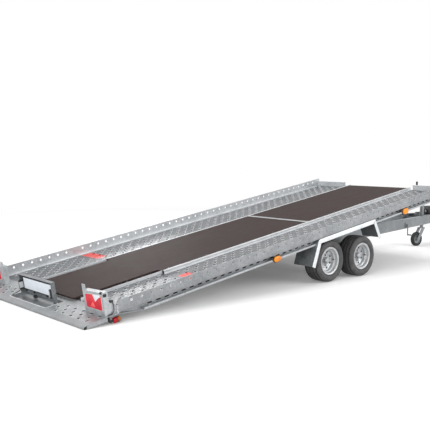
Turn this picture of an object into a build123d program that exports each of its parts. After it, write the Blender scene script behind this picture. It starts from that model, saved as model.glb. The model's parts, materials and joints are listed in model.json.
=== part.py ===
"""Tilting twin-axle car trailer: level chassis and drawbar, bed tipped back for loading.

Units are millimetres. +X points forward to the coupling, +Y to the left, +Z up.
The bed is drawn in its level driving position and then turned about the pivot shaft
until the edge of its rear apron rests on the ground, which is how it is stored.
"""
from build123d import *
from math import asin, atan2, cos, degrees, hypot, radians, sin
import os

# ---- wheels and axles ----
TYRE_RADIUS = 218.0
TYRE_WIDTH = 195.0
TYRE_TREAD_WIDTH = 142.0
RIM_FLANGE_RADIUS = 142.5
RIM_SEAT_RADIUS = 127.0
RIM_WELL_RADIUS = 111.0
RIM_WALL = 4.0
RIM_HALF_WIDTH = 82.0
DISC_FACE_Y = 10.0
DISC_EDGE_Y = 38.0
VENT_COUNT = 8
VENT_RADIUS = 10.0
VENT_CIRCLE_RADIUS = 88.0
HUB_CAP_RADIUS = 32.0
HUB_CAP_LENGTH = 46.0
STUD_CIRCLE_RADIUS = 56.0
STUD_COUNT = 5
NUT_RADIUS = 9.5
NUT_HEIGHT = 14.0
DRUM_RADIUS = 92.0
DRUM_DEPTH = 66.0
BACKPLATE_RADIUS = 94.0
BACKPLATE_THICKNESS = 5.0
STUB_RADIUS = 22.0
STUB_END_Y = 28.0
HALF_TRACK = 890.0
AXLE_SPACING = 536.0
AXLE_TUBE = 80.0
ARM_LENGTH = 150.0
ARM_THICKNESS = 40.0
ARM_TO_TYRE = 34.0
AXLE_TUBE_HALF_LENGTH = HALF_TRACK - TYRE_WIDTH / 2 - ARM_TO_TYRE - ARM_THICKNESS
ARM_ROOT_RADIUS = 46.0
ARM_TIP_RADIUS = 34.0
AXLE_TUBE_Z = 275.0
AXLE_SADDLE_LENGTH = 120.0
FIT_GAP = 0.3
RUNNING_GAP = 0.05

# ---- chassis and drawbar ----
BEAM_WIDTH = 50.0
BEAM_WALL = 5.0
BEAM_REAR_X = -215.0
BEAM_BEND_X = 350.0
BEAM_FRONT_X = 3320.0
BEAM_TO_ARM = 108.5
BEAM_REAR_Y = AXLE_TUBE_HALF_LENGTH - BEAM_TO_ARM
BEAM_FRONT_Y = 101.0
BEAM_BOTTOM_Z = 322.0
BEAM_TOP_Z = 465.0
BEAM_TAIL_TOP_Z = 425.0
BEAM_TAIL_X = -40.0
BEAM_FRONT_BOTTOM_Z = 345.0
BEAM_FRONT_TOP_Z = 456.0
CROSS_TUBE = 60.0
CROSS_TUBE_WALL = 4.0
CROSS_TUBE_Z = 380.0
CROSS_TUBE_X = (-175.0, 420.0, 1000.0, 2860.0)
PIVOT_X = 0.0
PIVOT_Z = 400.0
PIVOT_SHAFT_RADIUS = 24.0

# ---- bed, in its level position ----
FLOOR_Z = 544.0
SHEET = 3.0
RAIL_BEYOND_TYRE = 29.5
RAIL_INNER_Y = HALF_TRACK + TYRE_WIDTH / 2 + RAIL_BEYOND_TYRE
RAIL_HEIGHT = 99.0
RAIL_REAR_X = -2897.0
RAIL_HOLE_END_GAP = 130.4
RAIL_HOLE_FIRST_X = RAIL_REAR_X + RAIL_HOLE_END_GAP
RAIL_HOLE_PITCH = 100.0
RAIL_HOLE_COUNT = 48
RAIL_HOLE_RADIUS = 12.0
RAIL_HOLE_BELOW_TOP = 33.0
LANE_JOINT_X = -2037.0
LANE_JOINT_GAP = 6.0
BEAD_INNER_Y = 460.0
BEAD_WIDTH = 22.0
BEAD_HEIGHT = 30.0
REAR_LANE_EXTRA_WIDTH = 65.0
REAR_LANE_INNER_Y = BEAD_INNER_Y - REAR_LANE_EXTRA_WIDTH
PANEL_THICKNESS = 15.0
PANEL_TOP_ABOVE_FLOOR = 27.0
PANEL_OVERHANG = 30.0
PANEL_REAR_X = RAIL_REAR_X - PANEL_OVERHANG
PANEL_JOINT_X = -12.0
PANEL_FRONT_X = 1953.0
BED_FRONT_X = PANEL_FRONT_X + PANEL_OVERHANG
PANEL_EDGE_GAP = 1.0
JOINT_STRIP_WIDTH = 40.0
JOINT_STRIP_THICKNESS = 2.0
INNER_SILL_UNDER_BEAD = 20.0
INNER_SILL_OUTER_Y = BEAD_INNER_Y + INNER_SILL_UNDER_BEAD
INNER_SILL_WIDTH = 50.0
INNER_SILL_HEIGHT = 65.0
INNER_SILL_WALL = 3.0
MEMBER_HEIGHT = 50.0
MEMBER_WIDTH = 40.0
CENTRE_MEMBER_X = (-2700.0, -2100.0, -1500.0, -900.0, -320.0, 320.0, 800.0, 1250.0, 1720.0)
LANE_MEMBER_X = (-2700.0, -2100.0, -1500.0, -900.0, 800.0, 1250.0, 1720.0)
FRONT_MEMBER_DEPTH = 62.0
BEARER_WIDTH = 45.0
BEARER_Y = (-350.0, 0.0, 350.0)
SILL_INSET = 20.0
SILL_FLANGE_WIDTH = 45.0
SILL_OUTER_Y = RAIL_INNER_Y + SHEET - SILL_INSET
SILL_WEB_Y = SILL_OUTER_Y - SILL_FLANGE_WIDTH
SILL_DEPTH = 56.0
SILL_LIP = 18.0
SILL_BOX_WIDTH = 30.0
SILL_BOX_Y = SILL_WEB_Y - SILL_BOX_WIDTH
SILL_SLOT_LENGTH = 46.0
SILL_SLOT_HEIGHT = 15.0
SILL_SLOT_PITCH = 90.0
SILL_TAPER_LENGTH = 252.0
SILL_TAPER_X = RAIL_REAR_X + SILL_TAPER_LENGTH
SILL_TAIL_DEPTH = 12.0
STOP_X = PANEL_FRONT_X
STOP_FROM_BEAD = 70.0
STOP_INNER_Y = BEAD_INNER_Y + STOP_FROM_BEAD
STOP_HEIGHT = 64.0
STOP_FLANGE = 25.0

# ---- wheel arches, on the bed ----
GUARD_SHEET = 2.5
GUARD_TYRE_GAP = 17.0
GUARD_INNER_Y = HALF_TRACK - TYRE_WIDTH / 2 - GUARD_TYRE_GAP
GUARD_OVERHANG = 3.0
GUARD_OUTER_Y = RAIL_INNER_Y + SHEET + GUARD_OVERHANG
GUARD_TOP_REAR_X = -490.0
GUARD_TOP_FRONT_X = 453.0
GUARD_REAR_FOOT = (-627.0, 295.0)
GUARD_FRONT_FOOT = (537.0, 316.0)
GUARD_LIP = 44.0

# ---- rear apron, lamps and plate holder, on the bed ----
APRON_LENGTH = 297.0
APRON_REAR_X = PANEL_REAR_X - APRON_LENGTH
APRON_DEPTH = 32.5
APRON_OVERHANG = 10.0
APRON_HALF_WIDTH = RAIL_INNER_Y + SHEET + APRON_OVERHANG
APRON_BEVEL_LENGTH = 58.0
APRON_BEVEL_DROP = 13.0
APRON_HOLE_RADIUS = 13.0
APRON_HOLE_FIRST = 77.5
APRON_HOLE_COLUMNS = 3
APRON_HOLE_COLUMN_PITCH = 57.5
APRON_HOLE_ROW_PITCH = 120.0
APRON_HOLE_EDGE = 45.0
POCKET_REAR_MARGIN = 67.0
POCKET_REAR_X = APRON_REAR_X + POCKET_REAR_MARGIN
HOLDER_PIN_BEHIND_PANEL = 104.0
HOLDER_PIN_X = PANEL_REAR_X - HOLDER_PIN_BEHIND_PANEL
HOLDER_PIN_BELOW_FLOOR = 8.0
HOLDER_PIN_RADIUS = 4.0
HOLDER_HEIGHT = 186.0
HOLDER_DEPTH = 40.0
HOLDER_SHEET = 2.0
HOLDER_FOLD_ROOM = 42.0
HOLDER_SIDE_ROOM = 30.0
PLATE_SIZE = (520.0, 110.0)
PLATE_THICKNESS = 2.0
PLATE_BOTTOM = 52.0
PLATE_BACK_DEPTH = 14.0
PLATE_LAMP_SIZE = (50.0, 26.0, 78.0)
PLATE_LAMP_GAP = 4.0
HOLDER_HALF_WIDTH = PLATE_SIZE[0] / 2 + PLATE_LAMP_GAP + PLATE_LAMP_SIZE[1] + HOLDER_SHEET
POCKET_HALF_WIDTH = HOLDER_HALF_WIDTH + HOLDER_SIDE_ROOM
APRON_HOLE_BESIDE_POCKET = 93.0
APRON_HOLE_INNER_Y = POCKET_HALF_WIDTH + APRON_HOLE_BESIDE_POCKET
LAMP_BOX_INSET = 28.0
LAMP_BOX_WIDTH = 278.0
LAMP_BOX_DEPTH = 50.0
LAMP_BOX_OUTER_Y = APRON_HALF_WIDTH - LAMP_BOX_INSET
LAMP_BOX_INNER_Y = LAMP_BOX_OUTER_Y - LAMP_BOX_WIDTH
LAMP_BOX_BEHIND_PANEL = 85.0
LAMP_BOX_REAR_X = PANEL_REAR_X - LAMP_BOX_BEHIND_PANEL
LAMP_BOX_LOW_TOP = 175.0
LAMP_BOX_HIGH_TOP = 188.0
LAMP_BOX_SHEET = 3.0
LAMP_INSET = 36.0
LAMP_LOW = 40.0
LAMP_INNER_HEIGHT = 120.0
LAMP_OUTER_HEIGHT = 139.0
LAMP_LENGTH = 236.0
LAMP_DEPTH = 38.0
LAMP_PROUD = 12.0
LAMP_POST_WIDTH = 46.0
LAMP_POST_OUT = 12.0
LAMP_POST_HEIGHT = 48.0
LAMP_POST_THICKNESS = 4.0
SIDE_WALL_HIGH = 105.0
SIDE_WALL_LOW = 68.0
SIDE_MARKER_X = (-1094.0, 1043.0)
SIDE_MARKER_SIZE = (96.0, 24.0, 64.0)
SIDE_MARKER_BELOW_FLOOR = 43.0
OUTLINE_MARKER_AHEAD = 92.0
OUTLINE_MARKER_X = LAMP_BOX_REAR_X + OUTLINE_MARKER_AHEAD
OUTLINE_MARKER_RADIUS = 24.0
OUTLINE_MARKER_LENGTH = 66.0
OUTLINE_MARKER_BELOW_FLOOR = 50.0
OUTLINE_ARM_RADIUS = 10.0
OUTLINE_ARM_AHEAD = 24.0

# ---- bed hinge and tilt damper ----
EAR_THICKNESS = 12.0
EAR_WIDTH = 110.0
EAR_TIP_RADIUS = 42.0
DAMPER_LOWER = (1090.0, 350.0)
DAMPER_UPPER_X = 1720.0
DAMPER_UPPER_Z = 440.0
DAMPER_BARREL_RADIUS = 25.0
DAMPER_BARREL_LENGTH = 480.0
DAMPER_ROD_RADIUS = 11.0
DAMPER_EYE_RADIUS = 24.0
DAMPER_EYE_WIDTH = 24.0
DAMPER_PIN_RADIUS = 8.0
DAMPER_EYE_BORE_RADIUS = 15.5
DAMPER_EAR_THICKNESS = 8.0
DAMPER_EAR_RADIUS = 26.0
DAMPER_EAR_GAP = 7.0

# ---- overrun coupling ----
HOUSING_REAR_X = 3060.0
HOUSING_FRONT_X = 3310.0
HOUSING_WIDTH = 112.0
HOUSING_TOP_Z = 560.0
HOUSING_BOTTOM_Z = 420.0
DRAW_TUBE_RADIUS = 25.0
DRAW_TUBE_Z = 492.0
BELLOWS_LENGTH = 70.0
BELLOWS_RADIUS = 40.0
BELLOWS_FOLDS = 4
BALL_X = 3450.0
BALL_RADIUS = 25.2
CUP_WALL = 7.0
CUP_SKIRT = 16.0
NOSE_BEYOND_CUP = 8.0
HEAD_REAR_X = 3380.0
HEAD_HALF_WIDTH = 36.0
GRIP_LENGTH = 150.0
BRAKE_LEVER_LENGTH = 330.0
BRAKE_LEVER_RADIUS = 11.0

# ---- jockey wheel ----
JOCKEY_X = 2985.0
JOCKEY_TUBE_RADIUS = 30.0
JOCKEY_TUBE_BOTTOM_Z = 330.0
JOCKEY_TUBE_TOP_Z = 835.0
JOCKEY_INNER_RADIUS = 24.0
JOCKEY_INNER_BOTTOM_Z = 262.0
JOCKEY_INNER_BELOW_TOP = 200.0
JOCKEY_WHEEL_RADIUS = 100.0
JOCKEY_WHEEL_WIDTH = 58.0
JOCKEY_TRAIL = 97.0
JOCKEY_SWIVEL = -11.6
JOCKEY_AXLE_RADIUS = 8.0
FORK_THICKNESS = 6.0
FORK_GAP = 5.0
CLAMP_Z = 425.0
CLAMP_HEIGHT = 50.0
CRANK_REACH = 150.0
CRANK_RADIUS = 6.0
KNOB_RADIUS = 13.0
KNOB_HEIGHT = 62.0

# ---- bed latch on the right drawbar beam ----
LATCH_X = 2075.0
LATCH_DROP = 128.0
LATCH_HEIGHT = 60.0

# ---- worked out from the sizes above ----
FLOOR_UNDER_Z = FLOOR_Z - SHEET
RAIL_TOP_Z = FLOOR_Z + RAIL_HEIGHT
PANEL_TOP_Z = FLOOR_Z + PANEL_TOP_ABOVE_FLOOR
PANEL_UNDER_Z = PANEL_TOP_Z - PANEL_THICKNESS
APRON_BOTTOM_Z = FLOOR_Z - APRON_DEPTH
BEAM_SPLAY = (BEAM_REAR_Y - BEAM_FRONT_Y) / (BEAM_FRONT_X - BEAM_BEND_X)


def tilt_angle():
    """Degrees of nose-up tilt at which the lower rear edge of the apron meets the ground."""
    reach = PIVOT_X - APRON_REAR_X
    rise = APRON_BOTTOM_Z - PIVOT_Z
    return degrees(asin(PIVOT_Z / hypot(reach, rise)) + atan2(rise, reach))


TILT = tilt_angle()


def tilted_point(x, z):
    """Where a point of the level bed, seen from the side, lies once the bed is tipped."""
    angle = radians(TILT)
    along = x - PIVOT_X
    above = z - PIVOT_Z
    return (PIVOT_X + along * cos(angle) - above * sin(angle),
            PIVOT_Z + along * sin(angle) + above * cos(angle))


HEAD_NOSE_X = BALL_X + BALL_RADIUS + CUP_WALL + NOSE_BEYOND_CUP
REAR_END_X = tilted_point(APRON_REAR_X, FLOOR_Z)[0]
ORIGIN_X = (REAR_END_X + HEAD_NOSE_X) / 2


# ---- helpers ----
def beam_y(x):
    """Centre line of the left drawbar beam: parallel over the axles, then running to the coupling."""
    if x <= BEAM_BEND_X:
        return BEAM_REAR_Y
    return BEAM_REAR_Y - (x - BEAM_BEND_X) * BEAM_SPLAY


def folded(points, thickness):
    """Outline of a folded sheet: the given line and its mitred copy to the right of travel."""
    normals = []
    for (x0, y0), (x1, y1) in zip(points, points[1:]):
        length = hypot(x1 - x0, y1 - y0)
        normals.append(((y1 - y0) / length, -(x1 - x0) / length))
    inner = []
    for index, (x, y) in enumerate(points):
        before = normals[max(index - 1, 0)]
        after = normals[min(index, len(normals) - 1)]
        scale = thickness / (1 + before[0] * after[0] + before[1] * after[1])
        inner.append((x + (before[0] + after[0]) * scale, y + (before[1] + after[1]) * scale))
    return make_face(Polyline(*points, *reversed(inner), close=True))


def along_x(face, start, end):
    """Extrude a face drawn as (Y, Z) from one X to another."""
    return extrude(Plane.YZ.offset(start) * face, amount=end - start, dir=(1, 0, 0))


def along_y(face, start, end):
    """Extrude a face drawn as (X, Z) from one Y to another."""
    return extrude(Plane.XZ.offset(-start) * face, amount=end - start, dir=(0, 1, 0))


def outline(*points):
    """Face inside a closed polygon."""
    return make_face(Polyline(*points, close=True))


def block(x, y, z):
    """Box between two X, two Y and two Z values, each given as a pair."""
    size = [high - low for low, high in (x, y, z)]
    middle = [(high + low) / 2 for low, high in (x, y, z)]
    return Pos(*middle) * Box(*size)


def y_cylinder(radius, x, z, start, end):
    """Cylinder lying along Y."""
    return Pos(x, (start + end) / 2, z) * Cylinder(radius, abs(end - start), rotation=(90, 0, 0))


def x_cylinder(radius, y, z, start, end):
    """Cylinder lying along X."""
    return Pos((start + end) / 2, y, z) * Cylinder(radius, abs(end - start), rotation=(0, 90, 0))


def z_cylinder(radius, x, y, bottom, top):
    """Upright cylinder."""
    return Pos(x, y, (bottom + top) / 2) * Cylinder(radius, top - bottom)


def mirrored(shape):
    """The same shape on the other side of the trailer."""
    return mirror(shape, about=Plane.XZ)


def both_sides(shape):
    """A shape and its mirror image together."""
    return shape + mirrored(shape)


def bar(start, end, radius):
    """Round bar between two points."""
    axis = Vector(*end) - Vector(*start)
    return Plane(origin=start, z_dir=axis) * Cylinder(
        radius, axis.length, align=(Align.CENTER, Align.CENTER, Align.MIN))


def on_bed(shape):
    """Turn a piece of the level bed about the pivot shaft to the loading position."""
    return shape.rotate(Axis((PIVOT_X, 0, PIVOT_Z), (0, 1, 0)), -TILT)


# ---- bed ----
def rail_holes(start, end):
    """Row of lashing holes through the left rail between two X values."""
    xs = [RAIL_HOLE_FIRST_X + index * RAIL_HOLE_PITCH for index in range(RAIL_HOLE_COUNT)]
    z = RAIL_TOP_Z - RAIL_HOLE_BELOW_TOP
    return [y_cylinder(RAIL_HOLE_RADIUS, x, z, RAIL_INNER_Y - SHEET, RAIL_INNER_Y + 2 * SHEET)
            for x in xs if start + RAIL_HOLE_RADIUS < x < end - RAIL_HOLE_RADIUS]


def lane_front():
    """Left wheel lane: bead beside the panel, punched floor and pierced rail, folded from one sheet."""
    bead_top = FLOOR_Z + BEAD_HEIGHT
    line = [(BEAD_INNER_Y, FLOOR_UNDER_Z), (BEAD_INNER_Y, bead_top),
            (BEAD_INNER_Y + BEAD_WIDTH, bead_top), (BEAD_INNER_Y + BEAD_WIDTH, FLOOR_Z),
            (RAIL_INNER_Y, FLOOR_Z), (RAIL_INNER_Y, RAIL_TOP_Z)]
    start = LANE_JOINT_X + LANE_JOINT_GAP
    sheet = along_x(folded(line, SHEET), start, BED_FRONT_X)
    return sheet - rail_holes(start, BED_FRONT_X)


def lane_rear():
    """Left rear lane, wider towards the middle and without a bead."""
    line = [(REAR_LANE_INNER_Y, FLOOR_Z), (RAIL_INNER_Y, FLOOR_Z), (RAIL_INNER_Y, RAIL_TOP_Z)]
    sheet = along_x(folded(line, SHEET), RAIL_REAR_X, LANE_JOINT_X)
    return sheet - rail_holes(RAIL_REAR_X, LANE_JOINT_X)


def panel_rear():
    """Rear plywood panel, narrower between the rear lanes."""
    narrow = REAR_LANE_INNER_Y - PANEL_EDGE_GAP
    wide = BEAD_INNER_Y - PANEL_EDGE_GAP
    step = LANE_JOINT_X + PANEL_EDGE_GAP
    z = (PANEL_UNDER_Z, PANEL_TOP_Z)
    rear = block((PANEL_REAR_X, step), (-narrow, narrow), z)
    return rear + block((step, PANEL_JOINT_X), (-wide, wide), z)


def panel_front():
    """Front plywood panel."""
    wide = BEAD_INNER_Y - PANEL_EDGE_GAP
    return block((PANEL_JOINT_X, PANEL_FRONT_X), (-wide, wide), (PANEL_UNDER_Z, PANEL_TOP_Z))


def joint_strip():
    """Flat metal strip over the joint of the two panels."""
    wide = BEAD_INNER_Y - PANEL_EDGE_GAP
    half = JOINT_STRIP_WIDTH / 2
    return block((PANEL_JOINT_X - half, PANEL_JOINT_X + half), (-wide, wide),
                 (PANEL_TOP_Z, PANEL_TOP_Z + JOINT_STRIP_THICKNESS))


def tube_along_x(y, z, start, end, wall):
    """Rectangular tube along X with its outer sides at two Y and two Z values."""
    inner = block((start - 1, end + 1), (y[0] + wall, y[1] - wall), (z[0] + wall, z[1] - wall))
    return block((start, end), y, z) - inner


def inner_sill():
    """Left inner longitudinal tube under the edge of the lane and the panel."""
    y = (INNER_SILL_OUTER_Y - INNER_SILL_WIDTH, INNER_SILL_OUTER_Y)
    z = (FLOOR_UNDER_Z - INNER_SILL_HEIGHT, FLOOR_UNDER_Z)
    return tube_along_x(y, z, RAIL_REAR_X, BED_FRONT_X - MEMBER_WIDTH, INNER_SILL_WALL)


def channel_along_y(x, start, end, height):
    """Channel section across the bed, open to the rear, its top under the floor."""
    rear = x - MEMBER_WIDTH / 2
    front = x + MEMBER_WIDTH / 2
    line = [(rear, FLOOR_UNDER_Z), (front, FLOOR_UNDER_Z),
            (front, FLOOR_UNDER_Z - height), (rear, FLOOR_UNDER_Z - height)]
    return along_y(folded(line, SHEET), start, end)


def centre_members():
    """Cross members between the inner sills and the bearers that carry the panels."""
    reach = INNER_SILL_OUTER_Y - INNER_SILL_WIDTH
    members = [channel_along_y(x, -reach, reach, MEMBER_HEIGHT) for x in CENTRE_MEMBER_X]
    half = BEARER_WIDTH / 2
    bearers = [block((RAIL_REAR_X, PANEL_FRONT_X), (y - half, y + half), (FLOOR_UNDER_Z, PANEL_UNDER_Z))
               for y in BEARER_Y]
    return members, bearers


def lane_members():
    """Cross members under both lanes, from the inner sills to the side sills."""
    left = [channel_along_y(x, INNER_SILL_OUTER_Y, SILL_BOX_Y, MEMBER_HEIGHT) for x in LANE_MEMBER_X]
    return left + [mirrored(member) for member in left]


def front_member():
    """Cross member that closes the front of the bed over its whole width."""
    x = BED_FRONT_X - MEMBER_WIDTH / 2
    return channel_along_y(x, -SILL_BOX_Y, SILL_BOX_Y, FRONT_MEMBER_DEPTH)


def sill_length(start, end):
    """One length of the left side sill: lipped channel with a row of slots in its web, boxed in behind."""
    bottom = FLOOR_UNDER_Z - SILL_DEPTH
    line = [(SILL_OUTER_Y, bottom + SILL_LIP), (SILL_OUTER_Y, bottom), (SILL_WEB_Y, bottom),
            (SILL_WEB_Y, FLOOR_UNDER_Z), (SILL_OUTER_Y, FLOOR_UNDER_Z)]
    back = [(SILL_WEB_Y, bottom), (SILL_BOX_Y, bottom), (SILL_BOX_Y, FLOOR_UNDER_Z), (SILL_WEB_Y, FLOOR_UNDER_Z)]
    sill = along_x(folded(line, SHEET), start, end) + along_x(folded(back, SHEET), start, end)
    count = int((end - start) / SILL_SLOT_PITCH)
    first = (start + end - (count - 1) * SILL_SLOT_PITCH) / 2
    z = FLOOR_UNDER_Z - SILL_DEPTH / 2 + 3
    slots = [Pos(first + index * SILL_SLOT_PITCH, SILL_WEB_Y, z)
             * Box(SILL_SLOT_LENGTH, 4 * SHEET, SILL_SLOT_HEIGHT) for index in range(count)]
    return sill - slots


def sill_tail():
    """Rear end of the left sill, its underside rising so that it clears the ground when tipped."""
    deep = FLOOR_UNDER_Z - SILL_DEPTH
    shallow = FLOOR_UNDER_Z - SILL_TAIL_DEPTH
    side = outline((SILL_TAPER_X, FLOOR_UNDER_Z), (RAIL_REAR_X, FLOOR_UNDER_Z),
                   (RAIL_REAR_X, shallow), (SILL_TAPER_X, deep))
    web = along_y(side, SILL_WEB_Y, SILL_WEB_Y + SHEET)
    flange = along_y(folded([(SILL_TAPER_X, deep), (RAIL_REAR_X, shallow)], SHEET),
                     SILL_WEB_Y, SILL_OUTER_Y)
    return web + flange


def side_sill():
    """Left side sill in front of and behind the wheel arch."""
    rear = sill_length(SILL_TAPER_X, GUARD_TOP_REAR_X)
    front = sill_length(GUARD_TOP_FRONT_X, BED_FRONT_X)
    arch = along_y(outline(*guard_line(0)), SILL_BOX_Y - SHEET, SILL_OUTER_Y + SHEET)
    return (rear + sill_tail() - arch) + (front - arch)


def front_stop():
    """Low angle at the front end of the left lane, against which the wheels stop."""
    line = [(STOP_X, FLOOR_Z), (STOP_X, FLOOR_Z + STOP_HEIGHT), (STOP_X + STOP_FLANGE, FLOOR_Z + STOP_HEIGHT)]
    return along_y(folded(line, SHEET), STOP_INNER_Y, RAIL_INNER_Y)


def guard_line(inset):
    """Line of the wheel arch in side view, moved inwards by a given inset."""
    rear_top = (GUARD_TOP_REAR_X, FLOOR_UNDER_Z)
    front_top = (GUARD_TOP_FRONT_X, FLOOR_UNDER_Z)
    rear_slope = (rear_top[0] - GUARD_REAR_FOOT[0]) / (rear_top[1] - GUARD_REAR_FOOT[1])
    front_slope = (GUARD_FRONT_FOOT[0] - front_top[0]) / (front_top[1] - GUARD_FRONT_FOOT[1])
    rear_shift = inset * hypot(1, rear_slope)
    front_shift = inset * hypot(1, front_slope)
    top = FLOOR_UNDER_Z - inset
    return [(GUARD_REAR_FOOT[0] + rear_shift, GUARD_REAR_FOOT[1]),
            (rear_top[0] + rear_shift - inset * rear_slope, top),
            (front_top[0] - front_shift + inset * front_slope, top),
            (GUARD_FRONT_FOOT[0] - front_shift, GUARD_FRONT_FOOT[1])]


def mudguard():
    """Left mudguard: angular sheet arch with a broad flat lip on its outer side."""
    arch = along_y(folded(guard_line(0), GUARD_SHEET), GUARD_INNER_Y, GUARD_OUTER_Y)
    lip = outline(*guard_line(0), *reversed(guard_line(GUARD_LIP)))
    return arch + along_y(lip, GUARD_OUTER_Y, GUARD_OUTER_Y + GUARD_SHEET)


def apron():
    """Rear apron: sheet tray over the full width, with the pocket for the plate holder."""
    bottom = APRON_BOTTOM_Z
    y = (-APRON_HALF_WIDTH, APRON_HALF_WIDTH)
    edge = FLOOR_Z - APRON_BEVEL_DROP
    bevel_x = APRON_REAR_X + APRON_BEVEL_LENGTH
    tray = along_y(outline((APRON_REAR_X, bottom), (APRON_REAR_X, edge), (bevel_x, FLOOR_Z),
                           (LAMP_BOX_REAR_X, FLOOR_Z), (LAMP_BOX_REAR_X, bottom)), *y)
    hollow = along_y(outline((APRON_REAR_X + SHEET, bottom - 1), (APRON_REAR_X + SHEET, edge - SHEET),
                             (bevel_x, FLOOR_UNDER_Z), (LAMP_BOX_REAR_X - SHEET, FLOOR_UNDER_Z),
                             (LAMP_BOX_REAR_X - SHEET, bottom - 1)), y[0] + SHEET, y[1] - SHEET)
    top = block((LAMP_BOX_REAR_X, RAIL_REAR_X), y, (FLOOR_UNDER_Z, FLOOR_Z))
    notch = block((PANEL_REAR_X, RAIL_REAR_X + 1), (-REAR_LANE_INNER_Y, REAR_LANE_INNER_Y),
                  (bottom - 1, FLOOR_Z + 1))
    pocket_front = HOLDER_PIN_X + HOLDER_PIN_BELOW_FLOOR + HOLDER_FOLD_ROOM
    pocket_y = (-POCKET_HALF_WIDTH, POCKET_HALF_WIDTH)
    pocket = block((POCKET_REAR_X, pocket_front), pocket_y, (bottom + SHEET, FLOOR_Z + 1))
    pocket_shell = block((POCKET_REAR_X - SHEET, pocket_front + SHEET),
                         (pocket_y[0] - SHEET, pocket_y[1] + SHEET), (bottom, FLOOR_Z))
    pin = y_cylinder(HOLDER_PIN_RADIUS, HOLDER_PIN_X, FLOOR_Z - HOLDER_PIN_BELOW_FLOOR,
                     HOLDER_HALF_WIDTH - 3 * HOLDER_SHEET, POCKET_HALF_WIDTH)
    return (tray - hollow + top - notch) + pocket_shell - pocket - apron_holes() + both_sides(pin)


def apron_holes():
    """Three staggered columns of grip holes through the apron, beside the pocket on both sides."""
    holes = []
    for column in range(APRON_HOLE_COLUMNS):
        x = APRON_REAR_X + APRON_HOLE_FIRST + column * APRON_HOLE_COLUMN_PITCH
        first = APRON_HOLE_INNER_Y + (0 if column % 2 else APRON_HOLE_ROW_PITCH / 2)
        rows = int((APRON_HALF_WIDTH - APRON_HOLE_EDGE - first) // APRON_HOLE_ROW_PITCH) + 1
        for row in range(rows):
            hole = z_cylinder(APRON_HOLE_RADIUS, x, first + row * APRON_HOLE_ROW_PITCH, FLOOR_UNDER_Z - 1, FLOOR_Z + 1)
            holes += [hole, mirrored(hole)]
    return holes


def lamp_box():
    """Left lamp box: shallow housing open to the front, a post at its inner corner, a low wall to the rail."""
    low = FLOOR_Z
    inner = FLOOR_Z + LAMP_BOX_LOW_TOP
    outer = FLOOR_Z + LAMP_BOX_HIGH_TOP
    t = LAMP_BOX_SHEET
    y0 = LAMP_BOX_INNER_Y
    y1 = LAMP_BOX_OUTER_Y
    rear = LAMP_BOX_REAR_X
    front = rear + LAMP_BOX_DEPTH
    rail = RAIL_REAR_X - t
    shell = along_x(outline((y0, low), (y1, low), (y1, outer), (y0, inner)), rear, front)
    hollow = along_x(outline((y0 + t, low + t), (y1 - t, low + t), (y1 - t, outer - t), (y0 + t, inner - t)),
                     rear + t, front + 1)
    window = along_x(lamp_outline(1), rear - 1, rear + 2 * t)
    inward = y0 - LAMP_POST_OUT
    post = block((rear + t, rear + t + LAMP_POST_THICKNESS), (inward, inward + LAMP_POST_WIDTH),
                 (low, inner + LAMP_POST_HEIGHT))
    wall = along_y(outline((front - t, low), (rail, low), (rail, low + SIDE_WALL_LOW),
                           (front - t, low + SIDE_WALL_HIGH)), y1 - t, y1)
    return shell - hollow - window + post + wall


def lamp_outline(margin):
    """Outline of the left rear lamp, higher at its outer end, grown by a margin."""
    y0 = LAMP_BOX_INNER_Y + LAMP_INSET
    y1 = y0 + LAMP_LENGTH
    z = FLOOR_Z + LAMP_LOW
    return outline((y0 - margin, z - margin), (y1 + margin, z - margin),
                   (y1 + margin, z + LAMP_OUTER_HEIGHT + margin),
                   (y0 - margin, z + LAMP_INNER_HEIGHT + margin))


def tail_lamp():
    """Left rear lamp with its rounded lens."""
    lamp = along_x(lamp_outline(0), LAMP_BOX_REAR_X - LAMP_PROUD, LAMP_BOX_REAR_X + LAMP_DEPTH)
    return fillet(lamp.faces().sort_by(Axis.X)[0].edges(), LAMP_PROUD * 0.6)


def side_marker(x):
    """Amber oval side marker under the left rail, on the lip of the side sill."""
    length, depth, height = SIDE_MARKER_SIZE
    z = FLOOR_Z - SIDE_MARKER_BELOW_FLOOR
    lamp = Pos(x, SILL_OUTER_Y + depth / 2 + FIT_GAP, z) * Box(length, depth, height)
    lamp = fillet(lamp.edges().filter_by(Axis.Y), height * 0.42)
    return fillet(lamp.faces().sort_by(Axis.Y)[-1].edges(), depth * 0.4)


def outline_marker():
    """Round end marker below the left lamp box, on a bent rubber arm from the apron."""
    z = FLOOR_Z - OUTLINE_MARKER_BELOW_FLOOR
    y = APRON_HALF_WIDTH - OUTLINE_MARKER_RADIUS
    half = OUTLINE_MARKER_LENGTH / 2
    bend_x = LAMP_BOX_REAR_X + OUTLINE_ARM_AHEAD
    lens = x_cylinder(OUTLINE_MARKER_RADIUS, y, z, OUTLINE_MARKER_X - half, OUTLINE_MARKER_X + half)
    arm = x_cylinder(OUTLINE_ARM_RADIUS, y, z, bend_x, OUTLINE_MARKER_X)
    drop = z_cylinder(OUTLINE_ARM_RADIUS, bend_x, y, z, FLOOR_UNDER_Z)
    return lens + arm + drop + Pos(bend_x, y, z) * Sphere(OUTLINE_ARM_RADIUS)


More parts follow.
